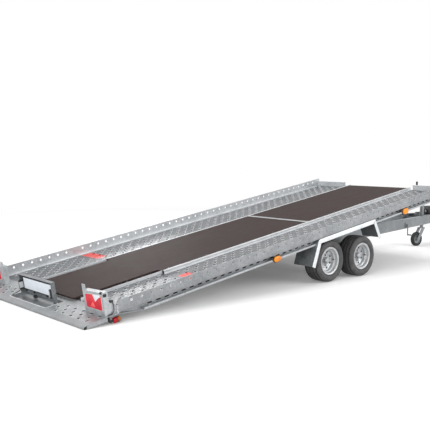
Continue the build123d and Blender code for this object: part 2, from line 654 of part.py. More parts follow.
def plate_holder():
    """Swinging tray for the number plate, open to the rear, with ears on its two end walls."""
    back = HOLDER_PIN_X + HOLDER_PIN_BELOW_FLOOR
    pin_z = FLOOR_Z - HOLDER_PIN_BELOW_FLOOR
    bottom = pin_z - HOLDER_PIN_BELOW_FLOOR
    x = (back - HOLDER_DEPTH, back)
    tray = block(x, (-HOLDER_HALF_WIDTH, HOLDER_HALF_WIDTH), (bottom, pin_z + HOLDER_HEIGHT))
    t = HOLDER_SHEET
    hollow = block((x[0] - 1, back - t), (-HOLDER_HALF_WIDTH + t, HOLDER_HALF_WIDTH - t),
                   (bottom - 1, pin_z + HOLDER_HEIGHT - t))
    low_cut = block((x[0] - 1, back + 1), (-HOLDER_HALF_WIDTH + t, HOLDER_HALF_WIDTH - t),
                    (bottom - 1, pin_z + 2 * HOLDER_PIN_RADIUS))
    bore = y_cylinder(HOLDER_PIN_RADIUS + RUNNING_GAP, HOLDER_PIN_X, pin_z,
                      -HOLDER_HALF_WIDTH - 1, HOLDER_HALF_WIDTH + 1)
    return tray - hollow - low_cut - bore


def number_plate():
    """Blank plate inside the holder, on two carrier strips."""
    width, height = PLATE_SIZE
    back = HOLDER_PIN_X + HOLDER_PIN_BELOW_FLOOR - PLATE_BACK_DEPTH
    bottom = FLOOR_Z - HOLDER_PIN_BELOW_FLOOR + PLATE_BOTTOM
    plate = block((back - PLATE_THICKNESS, back), (-width / 2, width / 2), (bottom, bottom + height))
    wall = HOLDER_PIN_X + HOLDER_PIN_BELOW_FLOOR - HOLDER_SHEET
    strips = [block((back, wall), (-width / 2, width / 2), (z - 8, z + 8))
              for z in (bottom + 20, bottom + height - 20)]
    return plate + strips


def plate_lamp():
    """Left number plate lamp, on the end wall of the holder."""
    depth, width, height = PLATE_LAMP_SIZE
    wall = HOLDER_PIN_X + HOLDER_PIN_BELOW_FLOOR - HOLDER_SHEET
    bottom = FLOOR_Z - HOLDER_PIN_BELOW_FLOOR + PLATE_BOTTOM
    outer = HOLDER_HALF_WIDTH - HOLDER_SHEET
    lamp = block((wall - depth, wall), (outer - width, outer), (bottom, bottom + height))
    return fillet(lamp.edges().filter_by(Axis.Z), 4)


def hinge_ear():
    """Left bed ear: plate below the inner sill with the bore for the pivot shaft."""
    top = FLOOR_UNDER_Z - INNER_SILL_HEIGHT
    half = EAR_WIDTH / 2
    side = outline((PIVOT_X - half, top), (PIVOT_X + half, top),
                   (PIVOT_X + EAR_TIP_RADIUS, PIVOT_Z), (PIVOT_X - EAR_TIP_RADIUS, PIVOT_Z))
    middle = INNER_SILL_OUTER_Y - INNER_SILL_WIDTH / 2
    y = (middle - EAR_THICKNESS / 2, middle + EAR_THICKNESS / 2)
    plate = along_y(side, *y) + y_cylinder(EAR_TIP_RADIUS, PIVOT_X, PIVOT_Z, *y)
    return plate - y_cylinder(PIVOT_SHAFT_RADIUS + RUNNING_GAP, PIVOT_X, PIVOT_Z, y[0] - 1, y[1] + 1)


def damper_upper_bracket():
    """Two ears with the upper damper pin under a centre cross member."""
    top = FLOOR_UNDER_Z - MEMBER_HEIGHT
    half = MEMBER_WIDTH / 2
    side = outline((DAMPER_UPPER_X - half, top), (DAMPER_UPPER_X + half, top),
                   (DAMPER_UPPER_X + DAMPER_EAR_RADIUS, DAMPER_UPPER_Z),
                   (DAMPER_UPPER_X - DAMPER_EAR_RADIUS, DAMPER_UPPER_Z))
    inner = DAMPER_EYE_WIDTH / 2 + 2
    y = (inner, inner + DAMPER_EAR_THICKNESS)
    ear = along_y(side, *y) + y_cylinder(DAMPER_EAR_RADIUS, DAMPER_UPPER_X, DAMPER_UPPER_Z, *y)
    pin = y_cylinder(DAMPER_PIN_RADIUS, DAMPER_UPPER_X, DAMPER_UPPER_Z, -y[1], y[1])
    return both_sides(ear) + pin


# ---- tilt damper ----
def damper_line():
    """Lower and upper pin of the damper in side view with the bed tipped."""
    return DAMPER_LOWER, tilted_point(DAMPER_UPPER_X, DAMPER_UPPER_Z)


def placed_damper(shape):
    """Put a damper piece drawn along +X from the origin onto the line between its pins."""
    (x0, z0), (x1, z1) = damper_line()
    angle = degrees(atan2(z1 - z0, x1 - x0))
    return Pos(x0, 0, z0) * Rot(0, -angle, 0) * shape


def damper_barrel():
    """Damper cylinder with its lower eye."""
    eye = y_cylinder(DAMPER_EYE_RADIUS, 0, 0, -DAMPER_EYE_WIDTH / 2, DAMPER_EYE_WIDTH / 2)
    bore = y_cylinder(DAMPER_PIN_RADIUS + RUNNING_GAP, 0, 0, -DAMPER_EYE_WIDTH, DAMPER_EYE_WIDTH)
    start = DAMPER_EAR_RADIUS + DAMPER_EAR_GAP
    barrel = x_cylinder(DAMPER_BARREL_RADIUS, 0, 0, start, DAMPER_BARREL_LENGTH)
    neck = x_cylinder(DAMPER_EYE_WIDTH / 2, 0, 0, 0, start)
    rod_bore = x_cylinder(DAMPER_ROD_RADIUS + FIT_GAP, 0, 0, 2 * DAMPER_EYE_RADIUS, DAMPER_BARREL_LENGTH + 1)
    return placed_damper(eye + neck + barrel - bore - rod_bore)


def damper_rod():
    """Damper rod with its upper eye, whose bore is wide enough to drift about the pin."""
    (x0, z0), (x1, z1) = damper_line()
    length = hypot(x1 - x0, z1 - z0)
    travel = length - hypot(DAMPER_UPPER_X - x0, DAMPER_UPPER_Z - z0)
    start = 2 * DAMPER_EYE_RADIUS + travel + 20
    rod = x_cylinder(DAMPER_ROD_RADIUS, 0, 0, start, length - DAMPER_EYE_BORE_RADIUS)
    eye = y_cylinder(DAMPER_EYE_RADIUS, length, 0, -DAMPER_EYE_WIDTH / 2, DAMPER_EYE_WIDTH / 2)
    bore = y_cylinder(DAMPER_EYE_BORE_RADIUS, length, 0, -DAMPER_EYE_WIDTH, DAMPER_EYE_WIDTH)
    return placed_damper(rod + eye - bore)


# ---- chassis ----
def beam_section(x, bottom, top):
    """Channel section of the left beam, open towards the middle, at one X."""
    outer = beam_y(x) + BEAM_WIDTH / 2
    inner = outer - BEAM_WIDTH
    t = BEAM_WALL
    face = outline((inner, bottom), (outer, bottom), (outer, top), (inner, top),
                   (inner, top - t), (outer - t, top - t), (outer - t, bottom + t), (inner, bottom + t))
    return Plane.YZ.offset(x) * face


def drawbar_beam():
    """Left beam: parallel over the axles, then running in to the coupling and growing slimmer."""
    stations = [(BEAM_REAR_X, BEAM_BOTTOM_Z, BEAM_TAIL_TOP_Z), (BEAM_TAIL_X, BEAM_BOTTOM_Z, BEAM_TOP_Z),
                (BEAM_BEND_X, BEAM_BOTTOM_Z, BEAM_TOP_Z),
                (HOUSING_REAR_X, BEAM_FRONT_BOTTOM_Z, BEAM_FRONT_TOP_Z),
                (BEAM_FRONT_X, BEAM_FRONT_BOTTOM_Z, BEAM_FRONT_TOP_Z)]
    sections = [beam_section(*station) for station in stations]
    parts = [loft([first, second], ruled=True) for first, second in zip(sections, sections[1:])]
    beam = parts[0] + parts[1] + parts[2] + parts[3]
    shaft = y_cylinder(PIVOT_SHAFT_RADIUS, PIVOT_X, PIVOT_Z, 0, BEAM_REAR_Y + BEAM_WIDTH)
    return beam - shaft


def between_beams(bottom, top):
    """The space between the webs of the two beams."""
    web = BEAM_WIDTH / 2 - BEAM_WALL
    left = [(x, beam_y(x) + web) for x in (BEAM_REAR_X, BEAM_BEND_X, BEAM_FRONT_X)]
    plan = outline(*left, *[(x, -y) for x, y in reversed(left)])
    return extrude(Plane.XY.offset(bottom) * plan, amount=top - bottom, dir=(0, 0, 1))


def chassis_members():
    """Square tubes between the webs of the two beams, with the lower damper ears."""
    half = CROSS_TUBE / 2
    between = between_beams(CROSS_TUBE_Z - CROSS_TUBE, CROSS_TUBE_Z + CROSS_TUBE)
    z = (CROSS_TUBE_Z - half, CROSS_TUBE_Z + half)
    y = (-BEAM_REAR_Y - BEAM_WIDTH, BEAM_REAR_Y + BEAM_WIDTH)
    t = CROSS_TUBE_WALL
    tubes = []
    for x in CROSS_TUBE_X:
        outer = block((x - half, x + half), y, z)
        inner = block((x - half + t, x + half - t), (y[0] - 1, y[1] + 1), (z[0] + t, z[1] - t))
        tubes.append((outer - inner) & between)
    tubes[2] = tubes[2] + damper_lower_bracket()
    return tubes


def damper_lower_bracket():
    """Two ears with the lower damper pin on the front of the second chassis tube."""
    rear = CROSS_TUBE_X[2] + CROSS_TUBE / 2
    x, z = DAMPER_LOWER
    half = CROSS_TUBE / 2
    side = outline((rear, CROSS_TUBE_Z - half), (x, z - DAMPER_EAR_RADIUS), (x, z + DAMPER_EAR_RADIUS),
                   (rear, CROSS_TUBE_Z + half))
    inner = DAMPER_EYE_WIDTH / 2 + 2
    y = (inner, inner + DAMPER_EAR_THICKNESS)
    ear = along_y(side, *y) + y_cylinder(DAMPER_EAR_RADIUS, x, z, *y)
    return both_sides(ear) + y_cylinder(DAMPER_PIN_RADIUS, x, z, -y[1], y[1])


def pivot_shaft():
    """Shaft through both beams, on which the bed turns."""
    reach = BEAM_REAR_Y + BEAM_WIDTH / 2 + 12
    return y_cylinder(PIVOT_SHAFT_RADIUS, PIVOT_X, PIVOT_Z, -reach, reach)


def axle(wheel_x):
    """Rubber-sprung axle: square tube, saddles, trailing arms, stubs and brake backplates."""
    tube_x = wheel_x + (ARM_LENGTH ** 2 - (AXLE_TUBE_Z - TYRE_RADIUS) ** 2) ** 0.5
    half = AXLE_TUBE / 2
    tube = block((tube_x - half, tube_x + half), (-AXLE_TUBE_HALF_LENGTH, AXLE_TUBE_HALF_LENGTH),
                 (AXLE_TUBE_Z - half, AXLE_TUBE_Z + half))
    saddle = block((tube_x - AXLE_SADDLE_LENGTH / 2, tube_x + AXLE_SADDLE_LENGTH / 2),
                   (BEAM_REAR_Y - BEAM_WIDTH / 2, BEAM_REAR_Y + BEAM_WIDTH / 2),
                   (AXLE_TUBE_Z + half, BEAM_BOTTOM_Z))
    y = (AXLE_TUBE_HALF_LENGTH, AXLE_TUBE_HALF_LENGTH + ARM_THICKNESS)
    root = y_cylinder(ARM_ROOT_RADIUS, tube_x, AXLE_TUBE_Z, *y)
    tip = y_cylinder(ARM_TIP_RADIUS, wheel_x, TYRE_RADIUS, *y)
    along = (tube_x - wheel_x) / ARM_LENGTH
    up = (AXLE_TUBE_Z - TYRE_RADIUS) / ARM_LENGTH
    web = outline((tube_x - up * ARM_ROOT_RADIUS, AXLE_TUBE_Z + along * ARM_ROOT_RADIUS),
                  (tube_x + up * ARM_ROOT_RADIUS, AXLE_TUBE_Z - along * ARM_ROOT_RADIUS),
                  (wheel_x + up * ARM_TIP_RADIUS, TYRE_RADIUS - along * ARM_TIP_RADIUS),
                  (wheel_x - up * ARM_TIP_RADIUS, TYRE_RADIUS + along * ARM_TIP_RADIUS))
    stub = y_cylinder(STUB_RADIUS, wheel_x, TYRE_RADIUS, y[1] - 1, HALF_TRACK + STUB_END_Y)
    back_y = HALF_TRACK + DISC_FACE_Y - DRUM_DEPTH - 3
    plate = y_cylinder(BACKPLATE_RADIUS, wheel_x, TYRE_RADIUS, back_y - BACKPLATE_THICKNESS, back_y)
    boss = y_cylinder(ARM_TIP_RADIUS, wheel_x, TYRE_RADIUS, y[1] - 1, back_y)
    side = saddle + root + tip + along_y(web, *y) + stub + plate + boss
    return tube + both_sides(side)


# ---- wheels ----
def tyre():
    """Tyre ring about the Y axis: flat tread, rounded shoulders and bulged sidewalls."""
    half = TYRE_WIDTH / 2
    tread = TYRE_TREAD_WIDTH / 2
    bead = RIM_HALF_WIDTH - RIM_WALL - FIT_GAP
    seat = RIM_SEAT_RADIUS + FIT_GAP
    wide_radius = (TYRE_RADIUS + RIM_FLANGE_RADIUS) / 2
    shoulder = (tread + (half - tread) * 0.62, TYRE_RADIUS - 7)
    flange = (bead, RIM_FLANGE_RADIUS + FIT_GAP)
    right = [Line((0, TYRE_RADIUS), (tread, TYRE_RADIUS)),
             ThreePointArc((tread, TYRE_RADIUS), shoulder, (half - 3, TYRE_RADIUS - 28)),
             ThreePointArc((half - 3, TYRE_RADIUS - 28), (half, wide_radius), flange),
             Line(flange, (bead, seat)), Line((bead, seat), (0, seat)), Line((0, seat), (0, TYRE_RADIUS))]
    section = make_face(Curve() + right)
    ring = revolve(section, axis=Axis.X)
    ring = ring + mirror(ring, about=Plane.YZ)
    return ring.rotate(Axis.Z, 90)


def rim():
    """Steel wheel about the Y axis: well rim, dished disc with vents, hub cap, nuts and drum."""
    w = RIM_HALF_WIDTH
    f = RIM_FLANGE_RADIUS
    s = RIM_SEAT_RADIUS
    bead = w - RIM_WALL
    line = [(-w, f), (-bead, f - 3), (-bead, s), (-48, s - 2), (-40, RIM_WELL_RADIUS), (40, RIM_WELL_RADIUS),
            (48, s - 2), (bead, s), (bead, f - 3), (w, f)]
    barrel = revolve(folded(line, RIM_WALL), axis=Axis.X)
    inner = RIM_WELL_RADIUS - RIM_WALL
    dish = [(DISC_FACE_Y, 0), (DISC_FACE_Y, STUD_CIRCLE_RADIUS + 16), (DISC_FACE_Y + 12, STUD_CIRCLE_RADIUS + 24),
            (DISC_EDGE_Y - 10, inner - 6), (DISC_EDGE_Y, inner + 1)]
    disc = revolve(folded(dish, RIM_WALL + 1), axis=Axis.X)
    cap_end = DISC_FACE_Y + HUB_CAP_LENGTH
    cap = x_cylinder(HUB_CAP_RADIUS, 0, 0, DISC_FACE_Y - 2, cap_end)
    cap = fillet(cap.faces().sort_by(Axis.X)[-1].edges(), 9)
    nuts = [Rot(index * 360 / STUD_COUNT, 0, 0)
            * x_cylinder(NUT_RADIUS, 0, STUD_CIRCLE_RADIUS, DISC_FACE_Y - 2, DISC_FACE_Y + RIM_WALL + NUT_HEIGHT)
            for index in range(STUD_COUNT)]
    vents = [Rot((index + 0.5) * 360 / VENT_COUNT, 0, 0)
             * x_cylinder(VENT_RADIUS, 0, VENT_CIRCLE_RADIUS, DISC_FACE_Y - 5, DISC_EDGE_Y)
             for index in range(VENT_COUNT)]
    drum = x_cylinder(DRUM_RADIUS, 0, 0, DISC_FACE_Y - DRUM_DEPTH, DISC_FACE_Y)
    bore = x_cylinder(STUB_RADIUS + FIT_GAP, 0, 0, DISC_FACE_Y - DRUM_DEPTH - 1, STUB_END_Y + FIT_GAP)
    wheel = barrel + (disc - vents) + drum + cap + nuts - bore
    return wheel.rotate(Axis.Z, 90)


def on_hub(shape, wheel_x, side):
    """Put a wheel piece drawn for the left side onto a hub."""
    if side < 0:
        shape = mirrored(shape)
    return Pos(wheel_x, side * HALF_TRACK, TYRE_RADIUS) * shape


# ---- coupling ----
def overrun_housing():
    """Cast housing of the overrun device, on flanges over both beams."""
    half = HOUSING_WIDTH / 2
    side = outline((HOUSING_REAR_X, HOUSING_BOTTOM_Z), (HOUSING_FRONT_X, HOUSING_BOTTOM_Z),
                   (HOUSING_FRONT_X, HOUSING_TOP_Z - 25), (HOUSING_FRONT_X - 60, HOUSING_TOP_Z),
                   (HOUSING_REAR_X + 40, HOUSING_TOP_Z), (HOUSING_REAR_X, HOUSING_TOP_Z - 40))
    body = along_y(side, -half, half)
    body = fillet(body.edges().filter_by(Axis.Y), 10)
    reach = beam_y(HOUSING_REAR_X + 40) + BEAM_WIDTH / 2
    top = BEAM_FRONT_TOP_Z
    flange = block((HOUSING_REAR_X + 10, HOUSING_FRONT_X - 10), (-reach, reach), (top, top + 10))
    bore = x_cylinder(DRAW_TUBE_RADIUS + FIT_GAP, 0, DRAW_TUBE_Z, HOUSING_REAR_X - 1, HOUSING_FRONT_X + 1)
    return body + flange - bore


def draw_tube():
    """Sliding tube of the overrun device."""
    return x_cylinder(DRAW_TUBE_RADIUS, 0, DRAW_TUBE_Z, HOUSING_REAR_X + 20, BALL_X - BALL_RADIUS - CUP_WALL)


def bellows():
    """Rubber bellows between the housing and the coupling head."""
    pitch = BELLOWS_LENGTH / BELLOWS_FOLDS
    inner = DRAW_TUBE_RADIUS + FIT_GAP
    points = [(0, inner)]
    for index in range(BELLOWS_FOLDS):
        points += [(index * pitch, BELLOWS_RADIUS - 9), ((index + 0.5) * pitch, BELLOWS_RADIUS)]
    points += [(BELLOWS_LENGTH, BELLOWS_RADIUS - 9), (BELLOWS_LENGTH, inner)]
    ring = revolve(outline(*points), axis=Axis.X)
    return Pos(HOUSING_FRONT_X, 0, DRAW_TUBE_Z) * ring


def coupling_head():
    """Ball coupling: socket open below, neck round the draw tube."""
    outer = BALL_RADIUS + CUP_WALL
    z = DRAW_TUBE_Z - 8
    dome = Pos(BALL_X, 0, z) * Sphere(outer + 2)
    skirt = z_cylinder(outer + 2, BALL_X, 0, z - CUP_SKIRT, z)
    dome = dome - block((BALL_X - 80, BALL_X + 80), (-80, 80), (z - 80, z))
    nose = block((BALL_X, HEAD_NOSE_X), (-14, 14), (z - CUP_SKIRT, z + 12))
    neck = block((HEAD_REAR_X, BALL_X), (-HEAD_HALF_WIDTH + 4, HEAD_HALF_WIDTH - 4),
                 (z - CUP_SKIRT, DRAW_TUBE_Z + DRAW_TUBE_RADIUS + 7))
    ball = Pos(BALL_X, 0, z) * Sphere(BALL_RADIUS)
    mouth = z_cylinder(BALL_RADIUS, BALL_X, 0, z - CUP_SKIRT - 1, z)
    bore = x_cylinder(DRAW_TUBE_RADIUS + FIT_GAP, 0, DRAW_TUBE_Z, HEAD_REAR_X - 1, BALL_X - outer)
    return dome + skirt + nose + neck - ball - mouth - bore


def coupling_grip():
    """Grip lever on top of the coupling head."""
    z = DRAW_TUBE_Z + DRAW_TUBE_RADIUS + 7
    line = [(BALL_X + 18, z), (BALL_X + 10, z + 26), (BALL_X - 30, z + 34),
            (BALL_X - GRIP_LENGTH + 20, z + 52), (BALL_X - GRIP_LENGTH, z + 46)]
    grip = along_y(folded(line, 12), -17, 17)
    foot = block((BALL_X - 12, BALL_X + 14), (-14, 14), (z, z + 20))
    return grip + foot


def brake_lever():
    """Parking brake lever on the right side of the housing."""
    y = -HOUSING_WIDTH / 2 - BRAKE_LEVER_RADIUS - 1
    low = (HOUSING_REAR_X + 110, y, DRAW_TUBE_Z + 14)
    reach = BRAKE_LEVER_LENGTH
    high = (low[0] - reach * 0.35, y, low[2] + reach * 0.93)
    grip_start = (low[0] - reach * 0.23, y, low[2] + reach * 0.61)
    pivot = y_cylinder(26, low[0], low[2], -HOUSING_WIDTH / 2, y - 9)
    return bar(low, high, BRAKE_LEVER_RADIUS) + bar(grip_start, high, BRAKE_LEVER_RADIUS + 5) + pivot


# ---- jockey wheel ----
def jockey_clamp():
    """Bracket between the beams with the split collar round the jockey tube."""
    z = (CLAMP_Z - CLAMP_HEIGHT / 2, CLAMP_Z + CLAMP_HEIGHT / 2)
    collar = z_cylinder(JOCKEY_TUBE_RADIUS + 8, JOCKEY_X, 0, *z)
    hole = z_cylinder(JOCKEY_TUBE_RADIUS, JOCKEY_X, 0, z[0] - 1, z[1] + 1)
    reach = beam_y(JOCKEY_X) + BEAM_WIDTH
    web = block((JOCKEY_X - 12, JOCKEY_X + 12), (-reach, reach), z) & between_beams(*z)
    return collar + web - hole


def jockey_tube():
    """Outer tube of the jockey wheel."""
    tube = z_cylinder(JOCKEY_TUBE_RADIUS, JOCKEY_X, 0, JOCKEY_TUBE_BOTTOM_Z, JOCKEY_TUBE_TOP_Z)
    bore = z_cylinder(JOCKEY_INNER_RADIUS + FIT_GAP, JOCKEY_X, 0, JOCKEY_TUBE_BOTTOM_Z - 1, JOCKEY_TUBE_TOP_Z - 15)
    return tube - bore


def jockey_crank():
    """Crank on top of the jockey tube, with an upright knob."""
    z = JOCKEY_TUBE_TOP_Z
    hub = z_cylinder(18, JOCKEY_X, 0, z, z + 22)
    arm = x_cylinder(CRANK_RADIUS, 0, z + 14, JOCKEY_X - CRANK_REACH, JOCKEY_X)
    stem = z_cylinder(CRANK_RADIUS, JOCKEY_X - CRANK_REACH, 0, z + 8, z + 24)
    return hub + arm + stem


def jockey_knob():
    """Grip of the jockey crank."""
    z = JOCKEY_TUBE_TOP_Z + 24
    knob = z_cylinder(KNOB_RADIUS, JOCKEY_X - CRANK_REACH, 0, z, z + KNOB_HEIGHT)
    return fillet(knob.edges().filter_by(GeomType.CIRCLE), 5)


def jockey_inner():
    """Inner tube of the jockey wheel, drawn up and down by the crank."""
    return z_cylinder(JOCKEY_INNER_RADIUS, JOCKEY_X, 0, JOCKEY_INNER_BOTTOM_Z, JOCKEY_TUBE_TOP_Z - JOCKEY_INNER_BELOW_TOP)


def swivelled(shape):
    """Turn a fork or wheel drawn in line with the trailer about the jockey tube."""
    return shape.rotate(Axis((JOCKEY_X, 0, 0), (0, 0, 1)), JOCKEY_SWIVEL)


def jockey_fork():
    """Swivelling fork under the inner tube, with the wheel axle."""
    top = JOCKEY_INNER_BOTTOM_Z
    wheel_x = JOCKEY_X - JOCKEY_TRAIL
    inner = JOCKEY_WHEEL_WIDTH / 2 + FORK_GAP
    outer = inner + FORK_THICKNESS
    crown = block((JOCKEY_X - 34, JOCKEY_X + 30), (-outer, outer), (top - FORK_THICKNESS, top))
    cheek_side = outline((JOCKEY_X + 30, top), (JOCKEY_X - 34, top),
                         (wheel_x - 20, JOCKEY_WHEEL_RADIUS), (wheel_x + 20, JOCKEY_WHEEL_RADIUS - 14))
    cheek = along_y(cheek_side, inner, outer)
    cheek = cheek + y_cylinder(22, wheel_x, JOCKEY_WHEEL_RADIUS, inner, outer)
    pin = y_cylinder(JOCKEY_AXLE_RADIUS, wheel_x, JOCKEY_WHEEL_RADIUS, -outer - 6, outer + 6)
    return swivelled(crown + both_sides(cheek) + pin)


def jockey_wheel():
    """Jockey wheel: rubber tyre ring and hub as one turning piece."""
    half = JOCKEY_WHEEL_WIDTH / 2
    section = outline((-half, JOCKEY_AXLE_RADIUS + FIT_GAP), (half, JOCKEY_AXLE_RADIUS + FIT_GAP), (half, 26),
                      (half - 10, 30), (half - 10, 62), (half - 4, 68), (half - 4, JOCKEY_WHEEL_RADIUS - 14),
                      (half - 16, JOCKEY_WHEEL_RADIUS), (-half + 16, JOCKEY_WHEEL_RADIUS),
                      (-half + 4, JOCKEY_WHEEL_RADIUS - 14), (-half + 4, 68), (-half + 10, 62),
                      (-half + 10, 30), (-half, 26))
    ring = revolve(section, axis=Axis.X).rotate(Axis.Z, 90)
    return swivelled(Pos(JOCKEY_X - JOCKEY_TRAIL, 0, JOCKEY_WHEEL_RADIUS) * ring)


def bed_latch():
    """Latch lever on the outer side of the right beam, in front of the bed."""
    plate = block((-45, 45), (-8, 0), (-35, 35))
    boss = y_cylinder(16, 0, 0, -24, 0)
    lever = block((-9, 9), (-24, -16), (-LATCH_DROP, 6))
    handle = y_cylinder(9, 0, -LATCH_DROP, -70, -16)
    turn = Rot(0, 0, degrees(atan2(BEAM_SPLAY, 1)))
    outer = -beam_y(LATCH_X) - BEAM_WIDTH / 2
    return Pos(LATCH_X, outer, BEAM_BOTTOM_Z + LATCH_HEIGHT) * turn * (plate + boss + lever + handle)


# ---- assembly ----
def bed_pieces():
    """All pieces of the bed by name, in the level position."""
    members, bearers = centre_members()
    pieces = {
        "lane_left": lane_front(), "lane_right": mirrored(lane_front()),
        "rear_lanes": both_sides(lane_rear()),
        "deck_panel_rear": panel_rear(), "deck_panel_front": panel_front(), "deck_joint_strip": joint_strip(),
        "inner_sills": both_sides(inner_sill()),
        "side_sill_left": side_sill(), "side_sill_right": mirrored(side_sill()),
        "centre_cross_members": Compound(members + [damper_upper_bracket()]),
        "lane_cross_members": Compound(lane_members() + [front_member()]), "deck_bearers": Compound(bearers),
        "front_stops": both_sides(front_stop()),
        "mudguard_left": mudguard(), "mudguard_right": mirrored(mudguard()),
        "rear_apron": apron(), "lamp_boxes": both_sides(lamp_box()), "tail_lamps": both_sides(tail_lamp()),
        "side_markers": Compound([both_sides(side_marker(x)) for x in SIDE_MARKER_X]),
        "outline_markers": both_sides(outline_marker()),
        "bed_hinge_ears": both_sides(hinge_ear()),
        "plate_holder": plate_holder(), "number_plate": number_plate(), "plate_lamps": both_sides(plate_lamp()),
    }
    return {name: on_bed(shape) for name, shape in pieces.items()}


def chassis_pieces():
    """All pieces that stay level: chassis, axles, coupling, jockey wheel and damper."""
    half = AXLE_SPACING / 2
    return {
        "drawbar_beam_left": drawbar_beam(), "drawbar_beam_right": mirrored(drawbar_beam()),
        "chassis_cross_tubes": Compound(chassis_members()),
        "pivot_shaft": pivot_shaft(), "axle_front": axle(half), "axle_rear": axle(-half),
        "overrun_housing": overrun_housing(), "draw_tube": draw_tube(), "drawbar_bellows": bellows(),
        "coupling_head": coupling_head(), "coupling_grip": coupling_grip(), "parking_brake_lever": brake_lever(),
        "jockey_clamp": jockey_clamp(), "jockey_tube": jockey_tube() + jockey_crank(),
        "jockey_knob": jockey_knob(), "jockey_inner_tube": jockey_inner(), "jockey_fork": jockey_fork(),
        "jockey_wheel": jockey_wheel(), "bed_latch": bed_latch(),
        "damper_barrel": damper_barrel(), "damper_rod": damper_rod(),
    }


def wheel_pieces():
    """Tyres and rims at the four hubs."""
    pieces = {}
    tyre_shape = tyre()
    rim_shape = rim()
    for end, wheel_x in (("front", AXLE_SPACING / 2), ("rear", -AXLE_SPACING / 2)):
        for hand, side in (("left", 1), ("right", -1)):
            pieces[f"tyre_{end}_{hand}"] = on_hub(tyre_shape, wheel_x, side)
            pieces[f"rim_{end}_{hand}"] = on_hub(rim_shape, wheel_x, side)
    return pieces


def main():
    """Write one STEP file per piece, with the origin on the ground below the middle of the trailer."""
    os.makedirs("parts", exist_ok=True)
    pieces = {**bed_pieces(), **chassis_pieces(), **wheel_pieces()}
    for name, shape in pieces.items():
        export_step(Pos(-ORIGIN_X, 0, 0) * shape, f"parts/{name}.step")
    print(f"{len(pieces)} pieces, tilt {TILT:.3f} degrees, origin shift {-ORIGIN_X:.2f} mm")


main()
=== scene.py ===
"""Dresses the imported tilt-bed car trailer: punched lanes, tyres, lamps, fixings, finishes and studio.

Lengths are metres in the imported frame: +X forward to the coupling, +Y left, +Z up. Sizes of pieces
are held in millimetres where a maker would state them so, and turned to metres by MM.
"""

import json
import logging
import math
from dataclasses import dataclass, field
from enum import Enum, IntEnum

import bpy
import numpy as np
from mathutils import Matrix, Vector

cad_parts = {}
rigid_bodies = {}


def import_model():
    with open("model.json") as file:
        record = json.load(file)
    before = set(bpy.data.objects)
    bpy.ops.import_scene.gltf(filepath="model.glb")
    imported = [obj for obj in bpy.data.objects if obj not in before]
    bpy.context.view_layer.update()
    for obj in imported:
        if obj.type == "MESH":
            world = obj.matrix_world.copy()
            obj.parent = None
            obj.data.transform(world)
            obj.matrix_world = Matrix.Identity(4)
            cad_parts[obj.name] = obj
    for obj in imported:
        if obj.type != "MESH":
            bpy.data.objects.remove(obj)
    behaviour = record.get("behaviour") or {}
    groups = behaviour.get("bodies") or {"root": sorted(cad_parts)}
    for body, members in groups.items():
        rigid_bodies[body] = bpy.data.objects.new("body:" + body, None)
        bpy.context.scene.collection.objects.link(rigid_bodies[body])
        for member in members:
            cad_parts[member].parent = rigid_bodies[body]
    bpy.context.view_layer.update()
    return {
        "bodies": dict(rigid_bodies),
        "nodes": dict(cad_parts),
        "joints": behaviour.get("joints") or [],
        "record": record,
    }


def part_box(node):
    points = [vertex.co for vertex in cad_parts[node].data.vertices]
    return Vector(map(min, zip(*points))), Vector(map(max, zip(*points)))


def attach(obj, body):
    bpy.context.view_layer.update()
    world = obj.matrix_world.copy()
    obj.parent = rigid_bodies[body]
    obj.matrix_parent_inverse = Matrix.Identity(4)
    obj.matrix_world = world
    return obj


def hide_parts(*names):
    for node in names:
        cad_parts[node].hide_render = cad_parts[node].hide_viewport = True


LOG = logging.getLogger("trailer")
MM = 0.001
WELD_DIGITS = 6


class Body(Enum):
    """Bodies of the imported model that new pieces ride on."""

    CHASSIS = "chassis"
    BED = "bed"
    PLATE = "plate_holder"
    CASTOR = "jockey_wheel"


class LaneFace(IntEnum):
    """Areas of a folded lane, as the numbers of their finishes; rail and back take lit and shaded copies of
    one zinc, bead and collar painted highlight, hole painted shade.
    """

    FLOOR = 0
    RAIL = 1
    BEAD = 2
    COLLAR = 3
    HOLE = 4
    BACK = 5


# ---------------------------------------------------------------- colour and nodes
def linear(code: str) -> tuple[float, float, float, float]:
    """Turn an sRGB hex colour into linear red, green, blue and alpha.

    Args:
        code: six hex digits after a hash.

    Returns:
        Four numbers from 0 to 1.
    """
    values = [int(code[i:i + 2], 16) / 255 for i in (1, 3, 5)]
    curve = [v / 12.92 if v <= 0.04045 else ((v + 0.055) / 1.055) ** 2.4 for v in values]
    return (curve[0], curve[1], curve[2], 1.0)


def add_node(tree: bpy.types.NodeTree, kind: str, settings: dict | None = None,
             inputs: dict | None = None) -> bpy.types.Node:
    """Add one node with its settings, and fill or link its inputs.

    Args:
        tree: node tree that takes the node.
        kind: the node's type name.
        settings: attribute names and their values.
        inputs: socket names or numbers, each with a value or with the socket that feeds it.

    Returns:
        The new node.
    """
    node = tree.nodes.new(kind)
    for name, value in (settings or {}).items():
        setattr(node, name, value)
    for name, value in (inputs or {}).items():
        if isinstance(value, bpy.types.NodeSocket):
            tree.links.new(value, node.inputs[name])
        else:
            node.inputs[name].default_value = value
    return node


def new_material(name: str) -> tuple[bpy.types.Material, bpy.types.NodeTree]:
    """Make an empty node material.

    Args:
        name: the material's name.

    Returns:
        The material and its node tree.
    """
    material = bpy.data.materials.new(name)
    material.use_nodes = True
    material.node_tree.nodes.clear()
    return material, material.node_tree


